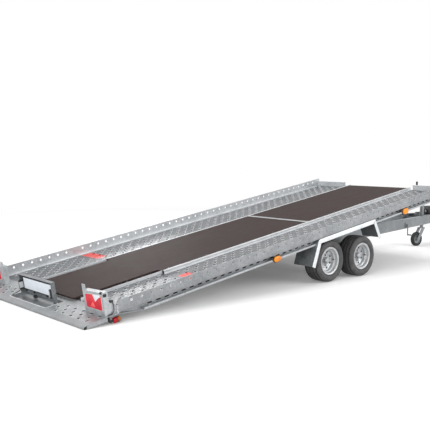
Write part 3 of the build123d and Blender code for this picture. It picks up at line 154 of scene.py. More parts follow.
def close_material(tree: bpy.types.NodeTree, shader: dict, bump: bpy.types.NodeSocket,
                   height_mm: float) -> None:
    """Add the surface shader with its bump, and the output.

    Args:
        tree: the material's node tree.
        shader: inputs of the Principled shader.
        bump: socket of a height pattern from 0 to 1.
        height_mm: height of the pattern in millimetres.
    """
    lift = add_node(tree, "ShaderNodeBump", {}, {"Strength": 1.0, "Distance": height_mm * MM, "Height": bump})
    surface = add_node(tree, "ShaderNodeBsdfPrincipled", {}, {**shader, "Normal": lift.outputs["Normal"]})
    add_node(tree, "ShaderNodeOutputMaterial", {}, {"Surface": surface.outputs["BSDF"]})


def worn_coat(name: str, colours: tuple[str, str], wear: tuple[float, float, float, float],
              grain: tuple[float, float, float], shader: dict) -> bpy.types.Material:
    """Make a finish of one colour that turns to a second where noise says it is worn or dusty.

    Args:
        name: the material's name.
        colours: fresh and worn colour.
        wear: width of a worn spot in mm, its finer layers' strength, and the noise where it starts and ends.
        grain: width of the fine grain in mm, its layers, and its height in mm.
        shader: further inputs of the shader; a pair runs from fresh to worn.

    Returns:
        The material.
    """
    material, tree = new_material(name)
    place = add_node(tree, "ShaderNodeTexCoord").outputs["Object"]
    spots = add_node(tree, "ShaderNodeTexNoise", {},
                     {"Vector": place, "Scale": 1 / (wear[0] * MM), "Detail": 5.0, "Roughness": wear[1]})
    worn = add_node(tree, "ShaderNodeMapRange", {},
                    {0: spots.outputs["Fac"], 1: wear[2], 2: wear[3]}).outputs[0]
    inputs = {"Base Color": add_node(tree, "ShaderNodeMix", {"data_type": "RGBA"},
                                     {0: worn, 6: linear(colours[0]), 7: linear(colours[1])}).outputs[2]}
    for socket, value in shader.items():
        inputs[socket] = value if isinstance(value, float) else add_node(
            tree, "ShaderNodeMapRange", {}, {0: worn, 3: value[0], 4: value[1]}).outputs[0]
    fine = add_node(tree, "ShaderNodeTexNoise", {},
                    {"Vector": place, "Scale": 1 / (grain[0] * MM), "Detail": grain[1], "Roughness": 0.55})
    close_material(tree, inputs, fine.outputs["Fac"], grain[2])
    return material


# ---------------------------------------------------------------- finishes
@dataclass(frozen=True)
class Patch:
    """A plain area in one colour on a sheet, between two X values and two distances from the middle.

    It lies on the faces whose normal points along one axis: 2 is up, 1 is to either side.
    """

    x: tuple[float, float]
    away: tuple[float, float]
    colour: str
    axis: int = 2


@dataclass(frozen=True)
class GalvanisedSteel:
    """Hot-dip galvanised steel: zinc crystals give a spangle, and runs and first white bloom give clouds."""

    name: str
    pale: str = "#a3a7a9"
    dark: str = "#63686b"
    spangle_mm: float = 9.0
    cloud_mm: float = 160.0
    metallic: float = 0.62
    roughness: float = 0.42
    patches: tuple[Patch, ...] = ()

    def patch_mask(self, tree: bpy.types.NodeTree, place: bpy.types.NodeSocket,
                   patch: Patch) -> bpy.types.NodeSocket:
        """Give 1 inside a patch: each limit is one comparison, and all are multiplied.

        Args:
            tree: the material's node tree.
            place: socket of the place on the piece.
            patch: the patch.

        Returns:
            The mask's socket.
        """
        spot = add_node(tree, "ShaderNodeSeparateXYZ", {}, {0: place})
        normal = add_node(tree, "ShaderNodeSeparateXYZ", {},
                          {0: add_node(tree, "ShaderNodeNewGeometry").outputs["Normal"]})
        across = add_node(tree, "ShaderNodeMath", {"operation": "ABSOLUTE"}, {0: spot.outputs[1]}).outputs[0]
        facing = normal.outputs[patch.axis]
        if patch.axis == 1:
            facing = add_node(tree, "ShaderNodeMath", {"operation": "ABSOLUTE"}, {0: facing}).outputs[0]
        tests = (("GREATER_THAN", spot.outputs[0], patch.x[0]), ("LESS_THAN", spot.outputs[0], patch.x[1]),
                 ("GREATER_THAN", across, patch.away[0]), ("LESS_THAN", across, patch.away[1]),
                 ("GREATER_THAN", facing, 0.2))
        mask = 1.0
        for operation, value, limit in tests:
            test = add_node(tree, "ShaderNodeMath", {"operation": operation}, {0: value, 1: limit}).outputs[0]
            mask = add_node(tree, "ShaderNodeMath", {"operation": "MULTIPLY"}, {0: mask, 1: test}).outputs[0]
        return mask

    def build(self) -> bpy.types.Material:
        """Make the material: voronoi cells for the crystals, two noises for clouds and runs.

        Returns:
            The material.
        """
        material, tree = new_material(self.name)
        place = add_node(tree, "ShaderNodeTexCoord").outputs["Object"]
        cells = add_node(tree, "ShaderNodeTexVoronoi", {"feature": "F1"},
                         {"Vector": place, "Scale": 1 / (self.spangle_mm * MM)})
        crystal = add_node(tree, "ShaderNodeSeparateColor", {}, {"Color": cells.outputs["Color"]}).outputs[0]
        tone = add_node(tree, "ShaderNodeMath", {"operation": "MULTIPLY_ADD", "use_clamp": True},
                        {0: crystal, 1: 0.4, 2: 0.0}).outputs[0]
        for size_mm, detail, low, high, share in ((self.cloud_mm, 4.0, 0.3, 0.7, 0.4),
                                                  (self.cloud_mm * 0.22, 2.0, 0.35, 0.75, 0.25)):
            blotch = add_node(tree, "ShaderNodeTexNoise", {}, {"Vector": place, "Scale": 1 / (size_mm * MM),
                                                               "Detail": detail, "Roughness": 0.55})
            cloud = add_node(tree, "ShaderNodeMapRange", {}, {0: blotch.outputs["Fac"], 1: low, 2: high})
            tone = add_node(tree, "ShaderNodeMath", {"operation": "MULTIPLY_ADD", "use_clamp": True},
                            {0: cloud.outputs[0], 1: share, 2: tone}).outputs[0]
        colour = add_node(tree, "ShaderNodeMix", {"data_type": "RGBA"},
                          {0: tone, 6: linear(self.dark), 7: linear(self.pale)}).outputs[2]
        rough = add_node(tree, "ShaderNodeMapRange", {},
                         {0: crystal, 3: self.roughness - 0.1, 4: self.roughness + 0.12}).outputs[0]
        shader = {"Base Color": colour, "Metallic": self.metallic, "Roughness": rough}
        for patch in self.patches:
            mask = self.patch_mask(tree, place, patch)
            shader["Base Color"] = add_node(tree, "ShaderNodeMix", {"data_type": "RGBA"},
                                            {0: mask, 6: shader["Base Color"],
                                             7: linear(patch.colour)}).outputs[2]
            shader["Metallic"] = add_node(tree, "ShaderNodeMapRange", {},
                                          {0: mask, 3: self.metallic, 4: 0.0}).outputs[0]
        grain = add_node(tree, "ShaderNodeTexNoise", {},
                         {"Vector": place, "Scale": 1 / (3.0 * MM), "Detail": 1.0, "Roughness": 0.55})
        close_material(tree, shader, grain.outputs["Fac"], 0.12)
        return material


@dataclass(frozen=True)
class PhenolicPlywood:
    """Film-faced birch plywood: a dark brown phenolic film with the print of a wire mesh and boot scuffs."""

    name: str
    film: str = "#332827"
    worn: str = "#453936"
    mesh_mm: float = 6.0
    scuff_mm: float = 90.0

    def build(self) -> bpy.types.Material:
        """Make the material: two crossed waves print the mesh, stretched noise gives scuffs along the bed.

        Returns:
            The material.
        """
        material, tree = new_material(self.name)
        place = add_node(tree, "ShaderNodeTexCoord").outputs["Object"]
        along = add_node(tree, "ShaderNodeMapping", {"vector_type": "POINT"},
                         {"Vector": place, "Scale": (0.55, 1.0, 1.0)}).outputs[0]
        wear = []
        for vector, size_mm, detail, roughness, low, high in ((along, self.scuff_mm, 5.0, 0.6, 0.3, 0.8),
                                                              (place, 14.0, 3.0, 0.55, 0.3, 0.7)):
            blotch = add_node(tree, "ShaderNodeTexNoise", {}, {"Vector": vector, "Scale": 1 / (size_mm * MM),
                                                               "Detail": detail, "Roughness": roughness})
            wear.append(add_node(tree, "ShaderNodeMapRange", {},
                                 {0: blotch.outputs["Fac"], 1: low, 2: high}).outputs[0])
        scuff, fine = wear
        share = add_node(tree, "ShaderNodeMath", {"operation": "MULTIPLY"}, {0: scuff, 1: 0.7}).outputs[0]
        tone = add_node(tree, "ShaderNodeMath", {"operation": "MULTIPLY_ADD", "use_clamp": True},
                        {0: fine, 1: 0.3, 2: share}).outputs[0]
        colour = add_node(tree, "ShaderNodeMix", {"data_type": "RGBA"},
                          {0: tone, 6: linear(self.film), 7: linear(self.worn)}).outputs[2]
        diagonal = add_node(tree, "ShaderNodeMapping", {"vector_type": "POINT"},
                          {"Vector": place, "Rotation": (0.0, 0.0, math.radians(45))})
        waves = [add_node(tree, "ShaderNodeTexWave", {"wave_type": "BANDS", "bands_direction": way},
                          {"Vector": diagonal.outputs[0],
                           "Scale": 1 / (self.mesh_mm * MM) / math.tau}).outputs["Fac"]
                 for way in ("X", "Y")]
        print_height = add_node(tree, "ShaderNodeMath", {"operation": "MAXIMUM"}, {0: waves[0], 1: waves[1]})
        rough = add_node(tree, "ShaderNodeMapRange", {}, {0: scuff, 3: 0.55, 4: 0.7}).outputs[0]
        close_material(tree, {"Base Color": colour, "Roughness": rough, "Specular IOR Level": 0.08},
                       print_height.outputs[0], 0.15)
        return material


@dataclass(frozen=True)
class CuredRubber:
    """Vulcanised rubber: matt carbon black, greyer where dust lies."""

    name: str
    black: str = "#434344"
    dusty: str = "#636261"
    dust_mm: float = 60.0
    roughness: float = 0.72

    def build(self) -> bpy.types.Material:
        """Make the material: noise lays the dust, fine noise the grain of the mould.

        Returns:
            The material.
        """
        return worn_coat(self.name, (self.black, self.dusty), (self.dust_mm, 0.6, 0.4, 0.75), (2.0, 2.0, 0.1),
                         {"Roughness": (self.roughness - 0.12, self.roughness + 0.12)})


@dataclass(frozen=True)
class SprayedPaint:
    """Sprayed or powder coated paint: one colour with fine orange peel, and a little dust in the hollows."""

    name: str
    colour: str
    worn: str
    metallic: float = 0.0
    roughness: float = 0.35
    peel_mm: float = 2.5
    wear_mm: float = 45.0

    def build(self) -> bpy.types.Material:
        """Make the material: noise shifts the colour where it is dusty or scuffed.

        Returns:
            The material.
        """
        return worn_coat(self.name, (self.colour, self.worn), (self.wear_mm, 0.65, 0.45, 0.8),
                         (self.peel_mm, 1.0, 0.06),
                         {"Metallic": self.metallic, "Roughness": (self.roughness, self.roughness + 0.2)})


@dataclass(frozen=True)
class LensPlastic:
    """Moulded acrylic lens: clear gloss over fine vertical flutes and prisms that hold the colour."""

    name: str
    colour: str
    deep: str
    flute_mm: float = 5.0
    roughness: float = 0.12

    def build(self) -> bpy.types.Material:
        """Make the material: bands across the lens vary its depth of colour and catch the light.

        Returns:
            The material.
        """
        material, tree = new_material(self.name)
        place = add_node(tree, "ShaderNodeTexCoord").outputs["Object"]
        bands = add_node(tree, "ShaderNodeTexWave", {"wave_type": "BANDS", "bands_direction": "Y"},
                         {"Vector": place, "Scale": 1 / (self.flute_mm * MM) / math.tau}).outputs["Fac"]
        cloud = add_node(tree, "ShaderNodeTexNoise", {},
                         {"Vector": place, "Scale": 1 / (70.0 * MM), "Detail": 2.0, "Roughness": 0.55})
        glow = add_node(tree, "ShaderNodeMapRange", {}, {0: cloud.outputs["Fac"], 1: 0.35, 2: 0.7}).outputs[0]
        tone = add_node(tree, "ShaderNodeMath", {"operation": "MULTIPLY_ADD", "use_clamp": True},
                        {0: bands, 1: 0.35, 2: glow}).outputs[0]
        colour = add_node(tree, "ShaderNodeMix", {"data_type": "RGBA"},
                          {0: tone, 6: linear(self.deep), 7: linear(self.colour)}).outputs[2]
        close_material(tree, {"Base Color": colour, "Roughness": self.roughness, "Specular IOR Level": 0.3,
                              "Coat Weight": 0.12, "Coat Roughness": 0.05, "IOR": 1.49}, bands, 0.15)
        return material


@dataclass(frozen=True)
class FinishBook:
    """Every finish of the trailer, built once."""

    lane: bpy.types.Material
    rail: bpy.types.Material
    back: bpy.types.Material
    bead: bpy.types.Material
    collar: bpy.types.Material
    shade: bpy.types.Material
    sill: bpy.types.Material
    apron: bpy.types.Material
    zinc: bpy.types.Material
    zinc_painted_light: bpy.types.Material
    zinc_painted_highlight: bpy.types.Material
    zinc_dark: bpy.types.Material
    plywood: bpy.types.Material
    strip: bpy.types.Material
    tyre: bpy.types.Material
    rubber: bpy.types.Material
    wheel: bpy.types.Material
    black: bpy.types.Material
    plastic: bpy.types.Material
    bright: bpy.types.Material
    fixings: bpy.types.Material
    cast: bpy.types.Material
    plate: bpy.types.Material
    rim_grey: bpy.types.Material
    window: bpy.types.Material
    red_lens: bpy.types.Material
    reflector: bpy.types.Material
    clear_lens: bpy.types.Material
    amber_lens: bpy.types.Material
    end_red: bpy.types.Material
    side_amber: bpy.types.Material
    groove_painted_shade: bpy.types.Material

    @staticmethod
    def build(mark: Patch, slots: Patch, corners: Patch) -> "FinishBook":
        """Build every finish and give the book.

        Args:
            mark: the blank marks on the lanes.
            slots: painted shade, near black on the inside of the side sills, seen through their slots.
            corners: painted shade, near black on the open ends of the apron's rolled edge.

        Returns:
            The book of finishes.
        """
        return FinishBook(
            lane=GalvanisedSteel("galvanised_lane", pale="#7f8184", dark="#4b4e51", roughness=0.36,
                                 patches=(mark,)).build(),
            # painted light and shade: the rail's inside is a lit copy of the lane's zinc, its back and the
            # undersides a shaded copy
            rail=GalvanisedSteel("galvanised_rail", pale="#d6d8da", dark="#abaeb1").build(),
            back=GalvanisedSteel("galvanised_back", pale="#aeb0b2", dark="#7c7f82").build(),
            # painted highlight: the bead is a paler copy of the lane's zinc
            bead=GalvanisedSteel("galvanised_bead", pale="#d6d8da", dark="#b2b4b7").build(),
            # painted highlight: the collars are a paler copy of the lane's zinc
            collar=GalvanisedSteel("rolled_collar", pale="#c6c8ca", dark="#9fa1a4", patches=(mark,)).build(),
            shade=GalvanisedSteel("shade_in_holes", pale="#343536", dark="#232425", metallic=0.2).build(),
            # the sill's patch is painted shade: near black behind the slots
            sill=GalvanisedSteel("galvanised_sill", pale="#cccfd1", dark="#9c9fa2", patches=(slots,)).build(),
            # the apron's patch is painted shade: near black on the rolled edge's open ends
            apron=GalvanisedSteel("galvanised_apron", pale="#b4b6b8", dark="#8a8d90",
                                  patches=(corners,)).build(),
            zinc=GalvanisedSteel("galvanised_sheet").build(),
            # painted light: a paler copy of the zinc for faces that the light falls on
            zinc_painted_light=GalvanisedSteel("galvanised_plate", pale="#d0d3d5", dark="#a2a6a9").build(),
            # painted highlight: a near-white copy of the zinc for bright edges, lips and stops
            zinc_painted_highlight=GalvanisedSteel("galvanised_fold", pale="#f0f2f4", dark="#d4d8db", metallic=0.4).build(),
            zinc_dark=GalvanisedSteel("galvanised_frame", pale="#a6aaac", dark="#75797c",
                                      cloud_mm=220.0).build(),
            plywood=PhenolicPlywood("film_faced_plywood").build(),
            strip=SprayedPaint("bright_joint_strip", "#b9bcbd", "#8f9294", metallic=0.8,
                               roughness=0.3).build(),
            tyre=CuredRubber("tyre_rubber").build(),
            rubber=CuredRubber("moulded_rubber", black="#1d1d1e", dusty="#333333").build(),
            wheel=SprayedPaint("wheel_silver", "#c6c8ca", "#a2a4a6", metallic=0.45, roughness=0.3).build(),
            black=SprayedPaint("coated_black", "#242526", "#3c3d3e", roughness=0.4).build(),
            plastic=SprayedPaint("moulded_black_plastic", "#1f2021", "#363738", roughness=0.5).build(),
            bright=SprayedPaint("ground_steel", "#b6b8ba", "#9a9c9e", metallic=1.0, roughness=0.2).build(),
            fixings=SprayedPaint("plated_fixings", "#b6b8b9", "#8a8d8f", metallic=0.85,
                                 roughness=0.35).build(),
            cast=SprayedPaint("cast_iron", "#5d5f61", "#7a7670", metallic=0.3, roughness=0.55).build(),
            plate=SprayedPaint("blank_white_plate", "#eef5fd", "#dfe7f0", roughness=0.3).build(),
            rim_grey=SprayedPaint("lamp_rim_plastic", "#b9bec0", "#a2a7a9", roughness=0.4).build(),
            window=SprayedPaint("lamp_window", "#c3c7ca", "#a9adb0", roughness=0.15).build(),
            red_lens=LensPlastic("red_lens", "#ee2038", "#c01226").build(),
            reflector=LensPlastic("red_reflector", "#ff6d70", "#e8303c", flute_mm=3.0).build(),
            clear_lens=LensPlastic("clear_lens", "#f8fafc", "#dfe4ea").build(),
            amber_lens=LensPlastic("amber_lens", "#c4661c", "#8c3f0c").build(),
            end_red=LensPlastic("end_marker_red", "#b81c2a", "#86101c").build(),
            side_amber=LensPlastic("side_amber_lens", "#ffa32e", "#e8781a").build(),
            # painted shade: darker rubber for the tread's grooves
            groove_painted_shade=CuredRubber("tread_groove", black="#161617", dusty="#262626").build(),
        )


# ---------------------------------------------------------------- surfaces
@dataclass
class Shell:
    """A surface under construction: points, faces as rows of four point numbers, and their finishes."""

    points: np.ndarray
    faces: np.ndarray
    finish: np.ndarray = field(default_factory=lambda: np.zeros(0, int))

    def __post_init__(self) -> None:
        """Give every face the first finish unless told otherwise."""
        if len(self.finish) != len(self.faces):
            self.finish = np.zeros(len(self.faces), int)

    def moved(self, matrix: np.ndarray) -> "Shell":
        """Give a copy moved by a 4 by 4 matrix."""
        return Shell(self.points @ matrix[:3, :3].T + matrix[:3, 3], self.faces, self.finish)

    def flipped(self) -> "Shell":
        """Give a copy whose faces point the other way."""
        return Shell(self.points, self.faces[:, ::-1], self.finish)

    def mirrored(self) -> "Shell":
        """Give the copy on the other side of the trailer, still pointing outwards."""
        return Shell(self.points * (1, -1, 1), self.faces[:, ::-1], self.finish)

    def at(self, places: np.ndarray) -> "Shell":
        """Repeat the shell at each place.

        Args:
            places: one offset per row.

        Returns:
            All copies in one shell.
        """
        count = len(places)
        points = (self.points[None] + places[:, None]).reshape(-1, 3)
        faces = (self.faces[None] + (np.arange(count) * len(self.points))[:, None, None]).reshape(-1, 4)
        return Shell(points, faces, np.tile(self.finish, count))

    def welded(self) -> "Shell":
        """Join points that lie on one spot, and drop faces that have shrunk to less than a triangle.

        Returns:
            The welded shell.
        """
        _, first, inverse = np.unique(np.round(self.points, WELD_DIGITS), axis=0, return_index=True,
                                      return_inverse=True)
        faces = inverse.reshape(-1)[self.faces]
        ordered = np.sort(faces, axis=1)
        corners = 1 + (np.diff(ordered, axis=1) != 0).sum(axis=1)
        keep = corners >= 3
        return Shell(self.points[first], faces[keep], self.finish[keep])


def joined(shells: list[Shell]) -> Shell:
    """Put several shells into one.

    Args:
        shells: the shells, in order.

    Returns:
        One shell with all points and faces.
    """
    starts = np.cumsum([0] + [len(s.points) for s in shells[:-1]])
    return Shell(np.concatenate([s.points for s in shells]),
                 np.concatenate([s.faces + start for s, start in zip(shells, starts)]),
                 np.concatenate([s.finish for s in shells]))


def grid(points: np.ndarray, close_u: bool = False, close_v: bool = False) -> Shell:
    """Join a grid of points by quads; the normal is the first direction crossed with the second.

    Args:
        points: array of u by v by 3.
        close_u: whether the last row joins the first.
        close_v: whether the last column joins the first.

    Returns:
        The shell.
    """
    rows, columns = points.shape[:2]
    number = np.arange(rows * columns).reshape(rows, columns)
    if close_u:
        number = np.vstack([number, number[:1]])
    if close_v:
        number = np.hstack([number, number[:, :1]])
    faces = np.stack([number[:-1, :-1], number[1:, :-1], number[1:, 1:], number[:-1, 1:]], axis=-1)
    return Shell(points.reshape(-1, 3).astype(float), faces.reshape(-1, 4))


def turned(profile: np.ndarray, steps: int) -> Shell:
    """Turn a profile about the Y axis: each point (y, r) runs round as x = r cos a, z = r sin a.

    Args:
        profile: rows of y and radius.
        steps: points round.

    Returns:
        The shell, pointing outwards where y falls along the profile's outside.
    """
    angle = np.linspace(0, math.tau, steps, endpoint=False)[:, None]
    y, radius = profile[None, :, 0], profile[None, :, 1]
    points = np.stack([radius * np.cos(angle), np.broadcast_to(y, (steps, len(profile))),
                       radius * np.sin(angle)], axis=-1)
    return grid(points, close_u=True)


def rounded(corners: np.ndarray, radius: float, steps: int = 4) -> np.ndarray:
    """Round the inner corners of an open line: each becomes a quadratic arc through its tangent points.

    Args:
        corners: rows of two or three coordinates.
        radius: distance of the tangent points from the corner.
        steps: points per arc.

    Returns:
        The rounded line.
    """
    t = np.linspace(0, 1, steps)[:, None]
    line = [corners[:1]]
    for before, corner, after in zip(corners[:-2], corners[1:-1], corners[2:]):
        start = corner + (before - corner) * radius / np.linalg.norm(before - corner)
        end = corner + (after - corner) * radius / np.linalg.norm(after - corner)
        line.append((1 - t) ** 2 * start + 2 * t * (1 - t) * corner + t ** 2 * end)
    line.append(corners[-1:])
    return np.concatenate(line)


def loop(corners: np.ndarray, radius: float) -> np.ndarray:
    """Round every corner of a closed outline by an arc of five points.

    Args:
        corners: rows of x and y, anticlockwise, without the first repeated.
        radius: distance of the tangent points from each corner.

    Returns:
        Rows of x and y, anticlockwise.
    """
    middle = (corners[:1] + corners[-1:]) / 2
    return rounded(np.concatenate([middle, corners, middle]), radius, 5)[:-1]


def tube(path: np.ndarray, radius: float, sides: int) -> Shell:
    """Carry a circle along a path: at each point the circle stands square to the path, closed at both ends.

    Args:
        path: rows of three coordinates.
        radius: radius of the circle.
        sides: points round.

    Returns:
        The closed shell.
    """
    along = np.gradient(path, axis=0)
    along /= np.linalg.norm(along, axis=1)[:, None]
    helper = np.where(np.abs(along[:, 2:3]) > 0.9, [[1.0, 0.0, 0.0]], [[0.0, 0.0, 1.0]])
    side = np.cross(helper, along)
    side /= np.linalg.norm(side, axis=1)[:, None]
    up = np.cross(along, side)
    angle = np.linspace(0, math.tau, sides, endpoint=False)[None, :, None]
    ring = path[:, None] + radius * (np.cos(angle) * side[:, None] + np.sin(angle) * up[:, None])
    ends = np.repeat(path[[0, -1]][:, None], sides, axis=1)
    return grid(np.concatenate([ends[:1], ring, ends[1:]]), close_v=True).flipped().welded()


def turn_matrix(z_axis: tuple, x_hint: tuple = (1, 0, 0), origin: tuple = (0, 0, 0)) -> np.ndarray:
    """Make the matrix that stands +Z along an axis and keeps +X near a hint.

    Args:
        z_axis: direction that +Z takes.
        x_hint: direction that +X stays close to.
        origin: where the origin goes.

    Returns:
        A 4 by 4 matrix.
    """
    z = np.array(z_axis, float)
    z /= np.linalg.norm(z)
    x = np.array(x_hint, float)
    x = x - z * (x @ z)
    x /= np.linalg.norm(x)
    matrix = np.eye(4)
    matrix[:3, 0], matrix[:3, 1], matrix[:3, 2], matrix[:3, 3] = x, np.cross(z, x), z, origin
    return matrix


@dataclass(frozen=True)
class Bolt:
    """Hexagon bolt head on its washer; the shank is hidden."""

    size_mm: float = 10.0

    def shell(self) -> Shell:
        """Make it from stacked rings standing along +Z: washer, six-sided head with a chamfered top.

        Returns:
            The head's shell.
        """
        m = self.size_mm * MM
        rings = [(1.0, 0.0, 0), (1.0, 0.2, 0), (0.85, 0.2, 1), (0.85, 0.75, 1), (0.72, 0.85, 1),
                 (0.0, 0.85, 1)]
        angle = np.linspace(0, math.tau, 12, endpoint=False)
        hexagon = math.cos(math.pi / 6) / np.cos((angle % (math.pi / 3)) - math.pi / 6)
        points = [np.stack([m * r * (hexagon if six else 1) * np.cos(angle),
                            m * r * (hexagon if six else 1) * np.sin(angle),
                            np.full(12, m * z)], axis=-1) for r, z, six in rings]
        return grid(np.array(points), close_v=True).flipped().welded()


@dataclass(frozen=True)
class DomeHead:
    """Low domed head of a carriage bolt, rivet or screw."""

    radius_mm: float = 8.0
    height_mm: float = 3.0

    def shell(self) -> Shell:
        """Make it as height = h (1 - (r / R)^2) over rings of ten points, standing along +Z.

        Returns:
            The head's shell.
        """
        share = np.array([1.0, 0.85, 0.55, 0.0])
        angle = np.linspace(0, math.tau, 10, endpoint=False)
        radius = self.radius_mm * MM * share[:, None]
        height = np.broadcast_to(self.height_mm * MM * (1 - share[:, None] ** 2), (4, 10))
        points = np.stack([radius * np.cos(angle), radius * np.sin(angle), height], axis=-1)
        return grid(points, close_v=True).flipped().welded()


def put(name: str, shell: Shell, materials: list[bpy.types.Material], body: str,
        replaces: tuple[str, ...] = (), thickness: float = 0.0, smooth: float = 35.0,
        behind: int = 0) -> None:
    """Make a finished piece of a shell: weld it, give it finishes and smooth shading, and let it ride.

    Args:
        name: the piece's name.
        shell: its surface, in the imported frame.
        materials: finishes, in the order that the shell's face finishes count.
        body: body that it rides on.
        replaces: nodes that it stands for.
        thickness: wall given to an open sheet, behind its faces.
        smooth: angle in degrees under which faces blend.
        behind: how many finishes further on the back of the wall takes its own.
    """
    made = shell.welded()
    mesh = bpy.data.meshes.new(name)
    quads = made.faces
    same = [quads[:, i] == quads[:, (i + 1) % 4] for i in range(4)]
    triangle = np.logical_or.reduce(same)
    polygons = quads.tolist()
    for index in np.nonzero(triangle)[0]:
        polygons[index] = list(dict.fromkeys(polygons[index]))
    mesh.from_pydata(made.points.tolist(), [], polygons)
    mesh.polygons.foreach_set("material_index", made.finish.astype(np.int32))
    for material in materials:
        mesh.materials.append(material)
    mesh.polygons.foreach_set("use_smooth", np.ones(len(mesh.polygons), bool))
    mesh.update()
    piece = bpy.data.objects.new(name, mesh)
    bpy.context.scene.collection.objects.link(piece)
    if thickness:
        wall = piece.modifiers.new("wall", "SOLIDIFY")
        wall.thickness = thickness
        wall.offset = -1.0
        wall.use_even_offset = True
        wall.material_offset = behind
        bpy.context.view_layer.update()
        mesh = bpy.data.meshes.new_from_object(piece.evaluated_get(bpy.context.evaluated_depsgraph_get()))
        piece.modifiers.clear()
        piece.data = mesh
    mesh.set_sharp_from_angle(angle=math.radians(smooth))
    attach(piece, body)
    if replaces:
        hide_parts(*replaces)
    LOG.info("%s: %d faces on %s", name, len(mesh.polygons), body)


def dress(frame: dict, nodes: list[str], material: bpy.types.Material) -> None:
    """Give CAD nodes a finish.

    Args:
        frame: the loaded frame.
        nodes: names of the nodes.
        material: the finish.
    """
    for name in nodes:
        slots = frame["nodes"][name].data.materials
        slots.clear()
        slots.append(material)


# ---------------------------------------------------------------- the bed's own frame
@dataclass(frozen=True)
class BedFrame:
    """Turns points of the level bed to the tipped bed, about the pivot of the bed_tilt joint."""

    pivot: np.ndarray
    tilt: float
    sill_flange: float = 45 * MM

    @staticmethod
    def of(frame: dict) -> "BedFrame":
        """Read pivot and tilt from the joint's place and range."""
        joint = next(j for j in frame["joints"] if j["name"] == "bed_tilt")
        return BedFrame(np.array(joint["pos_m"], float), math.radians(max(joint["range_deg"], key=abs)))

    def matrix(self) -> np.ndarray:
        """Give the matrix from the level bed to the tipped bed: a turn about -Y through the pivot.

        Returns:
            The matrix, four by four.
        """
        c, s = math.cos(self.tilt), math.sin(self.tilt)
        matrix = np.eye(4)
        matrix[:3, :3] = [[c, 0, -s], [0, 1, 0], [s, 0, c]]
        matrix[:3, 3] = self.pivot - matrix[:3, :3] @ self.pivot
        return matrix

    def lane_marks(self, frame: dict) -> Patch:
        """Give the blank marks at the rear ends of the front lanes, where they lie on the tipped bed.

        Args:
            frame: the loaded frame.

        Returns:
            The marks' patch.
        """
        low, _ = self.level_box(frame, "lane_left")
        ends = [self.matrix() @ (low[0] + step, 0, low[2], 1) for step in (12 * MM, 130 * MM)]
        return Patch((ends[0][0], ends[1][0]), (660 * MM, 977 * MM), "#e2322a")

    def sill_painted_shade(self, frame: dict) -> Patch:
        """Give the painted shade inside the boxed side sills: near black on all that lies 2 mm or more behind
        the web's outer face.
        """
        _, high = self.level_box(frame, "side_sill_left")
        return Patch((-9.0, 9.0), (0.0, high[1] - self.sill_flange - 2 * MM), "#202122", 1)

    def apron_end_shade(self, frame: dict) -> Patch:
        """Give the painted shade at the open ends of the apron's rolled rear edge: near black on its two side
        faces.

        Args:
            frame: the loaded frame.

        Returns:
            The patch of both ends.
        """
        low, high = self.level_box(frame, "rear_apron")
        ends = [self.matrix() @ (low[0] + step, 0, low[2], 1) for step in (0.0, 24 * MM)]
        return Patch((ends[0][0] - 10 * MM, ends[1][0]), (high[1] - 0.6 * MM, 9.0), "#191a1b", 1)

    def level_box(self, frame: dict, node: str) -> tuple[np.ndarray, np.ndarray]:
        """Give a node's lowest and highest corner with the bed level.

        Args:
            frame: the loaded frame.
            node: name of the node.

        Returns:
            Lowest and highest corner.
        """
        mesh = frame["nodes"][node].data
        points = np.empty(len(mesh.vertices) * 3)
        mesh.vertices.foreach_get("co", points)
        back = np.linalg.inv(self.matrix())
        level = points.reshape(-1, 3) @ back[:3, :3].T + back[:3, 3]
        return level.min(axis=0), level.max(axis=0)


# ---------------------------------------------------------------- punched sheet
@dataclass(frozen=True)
class Punch:
    """One punched hole in its brick of sheet: rings of radius and height from the sheet to the hole's edge.

    The tones are the finish numbers of the bands between the brick's border and each ring in turn.
    """

    pitch: float
    row: float
    rings: tuple[tuple[float, float], ...]
    along_steps: int = 6
    across_steps: int = 2
    tones: tuple[int, ...] = ()

    def border(self) -> np.ndarray:
        """Give the evenly spaced points round the brick, anticlockwise.

        Returns:
            Rows of s and t.
        """
        s = np.linspace(-0.5, 0.5, self.along_steps + 1)[:-1] * self.pitch
        t = np.linspace(-0.5, 0.5, self.across_steps + 1)[:-1] * self.row
        low, right = np.full(len(s), -self.row / 2), np.full(len(t), self.pitch / 2)
        return np.concatenate([np.stack([s, low], -1), np.stack([right, t], -1),
                               np.stack([-s, -low], -1), np.stack([-right, -t], -1)])

    def brick(self) -> Shell:
        """Run straight from the brick's border to the rings, each a circle with points evenly round it.

        Returns:
            The brick's shell.
        """
        border = self.border()
        bearing = np.arctan2(border[0, 1], border[0, 0]) + np.arange(len(border)) * math.tau / len(border)
        way = np.stack([np.cos(bearing), np.sin(bearing)], -1)
        rings = [np.column_stack([border, np.zeros(len(border))])]
        rings += [np.column_stack([way * radius, np.full(len(border), height)])
                  for radius, height in self.rings]
        shape = grid(np.array(rings), close_v=True).flipped()
        tones = np.repeat(np.array(self.tones or (0,) * len(self.rings)), len(border))
        return Shell(shape.points, shape.faces, tones)


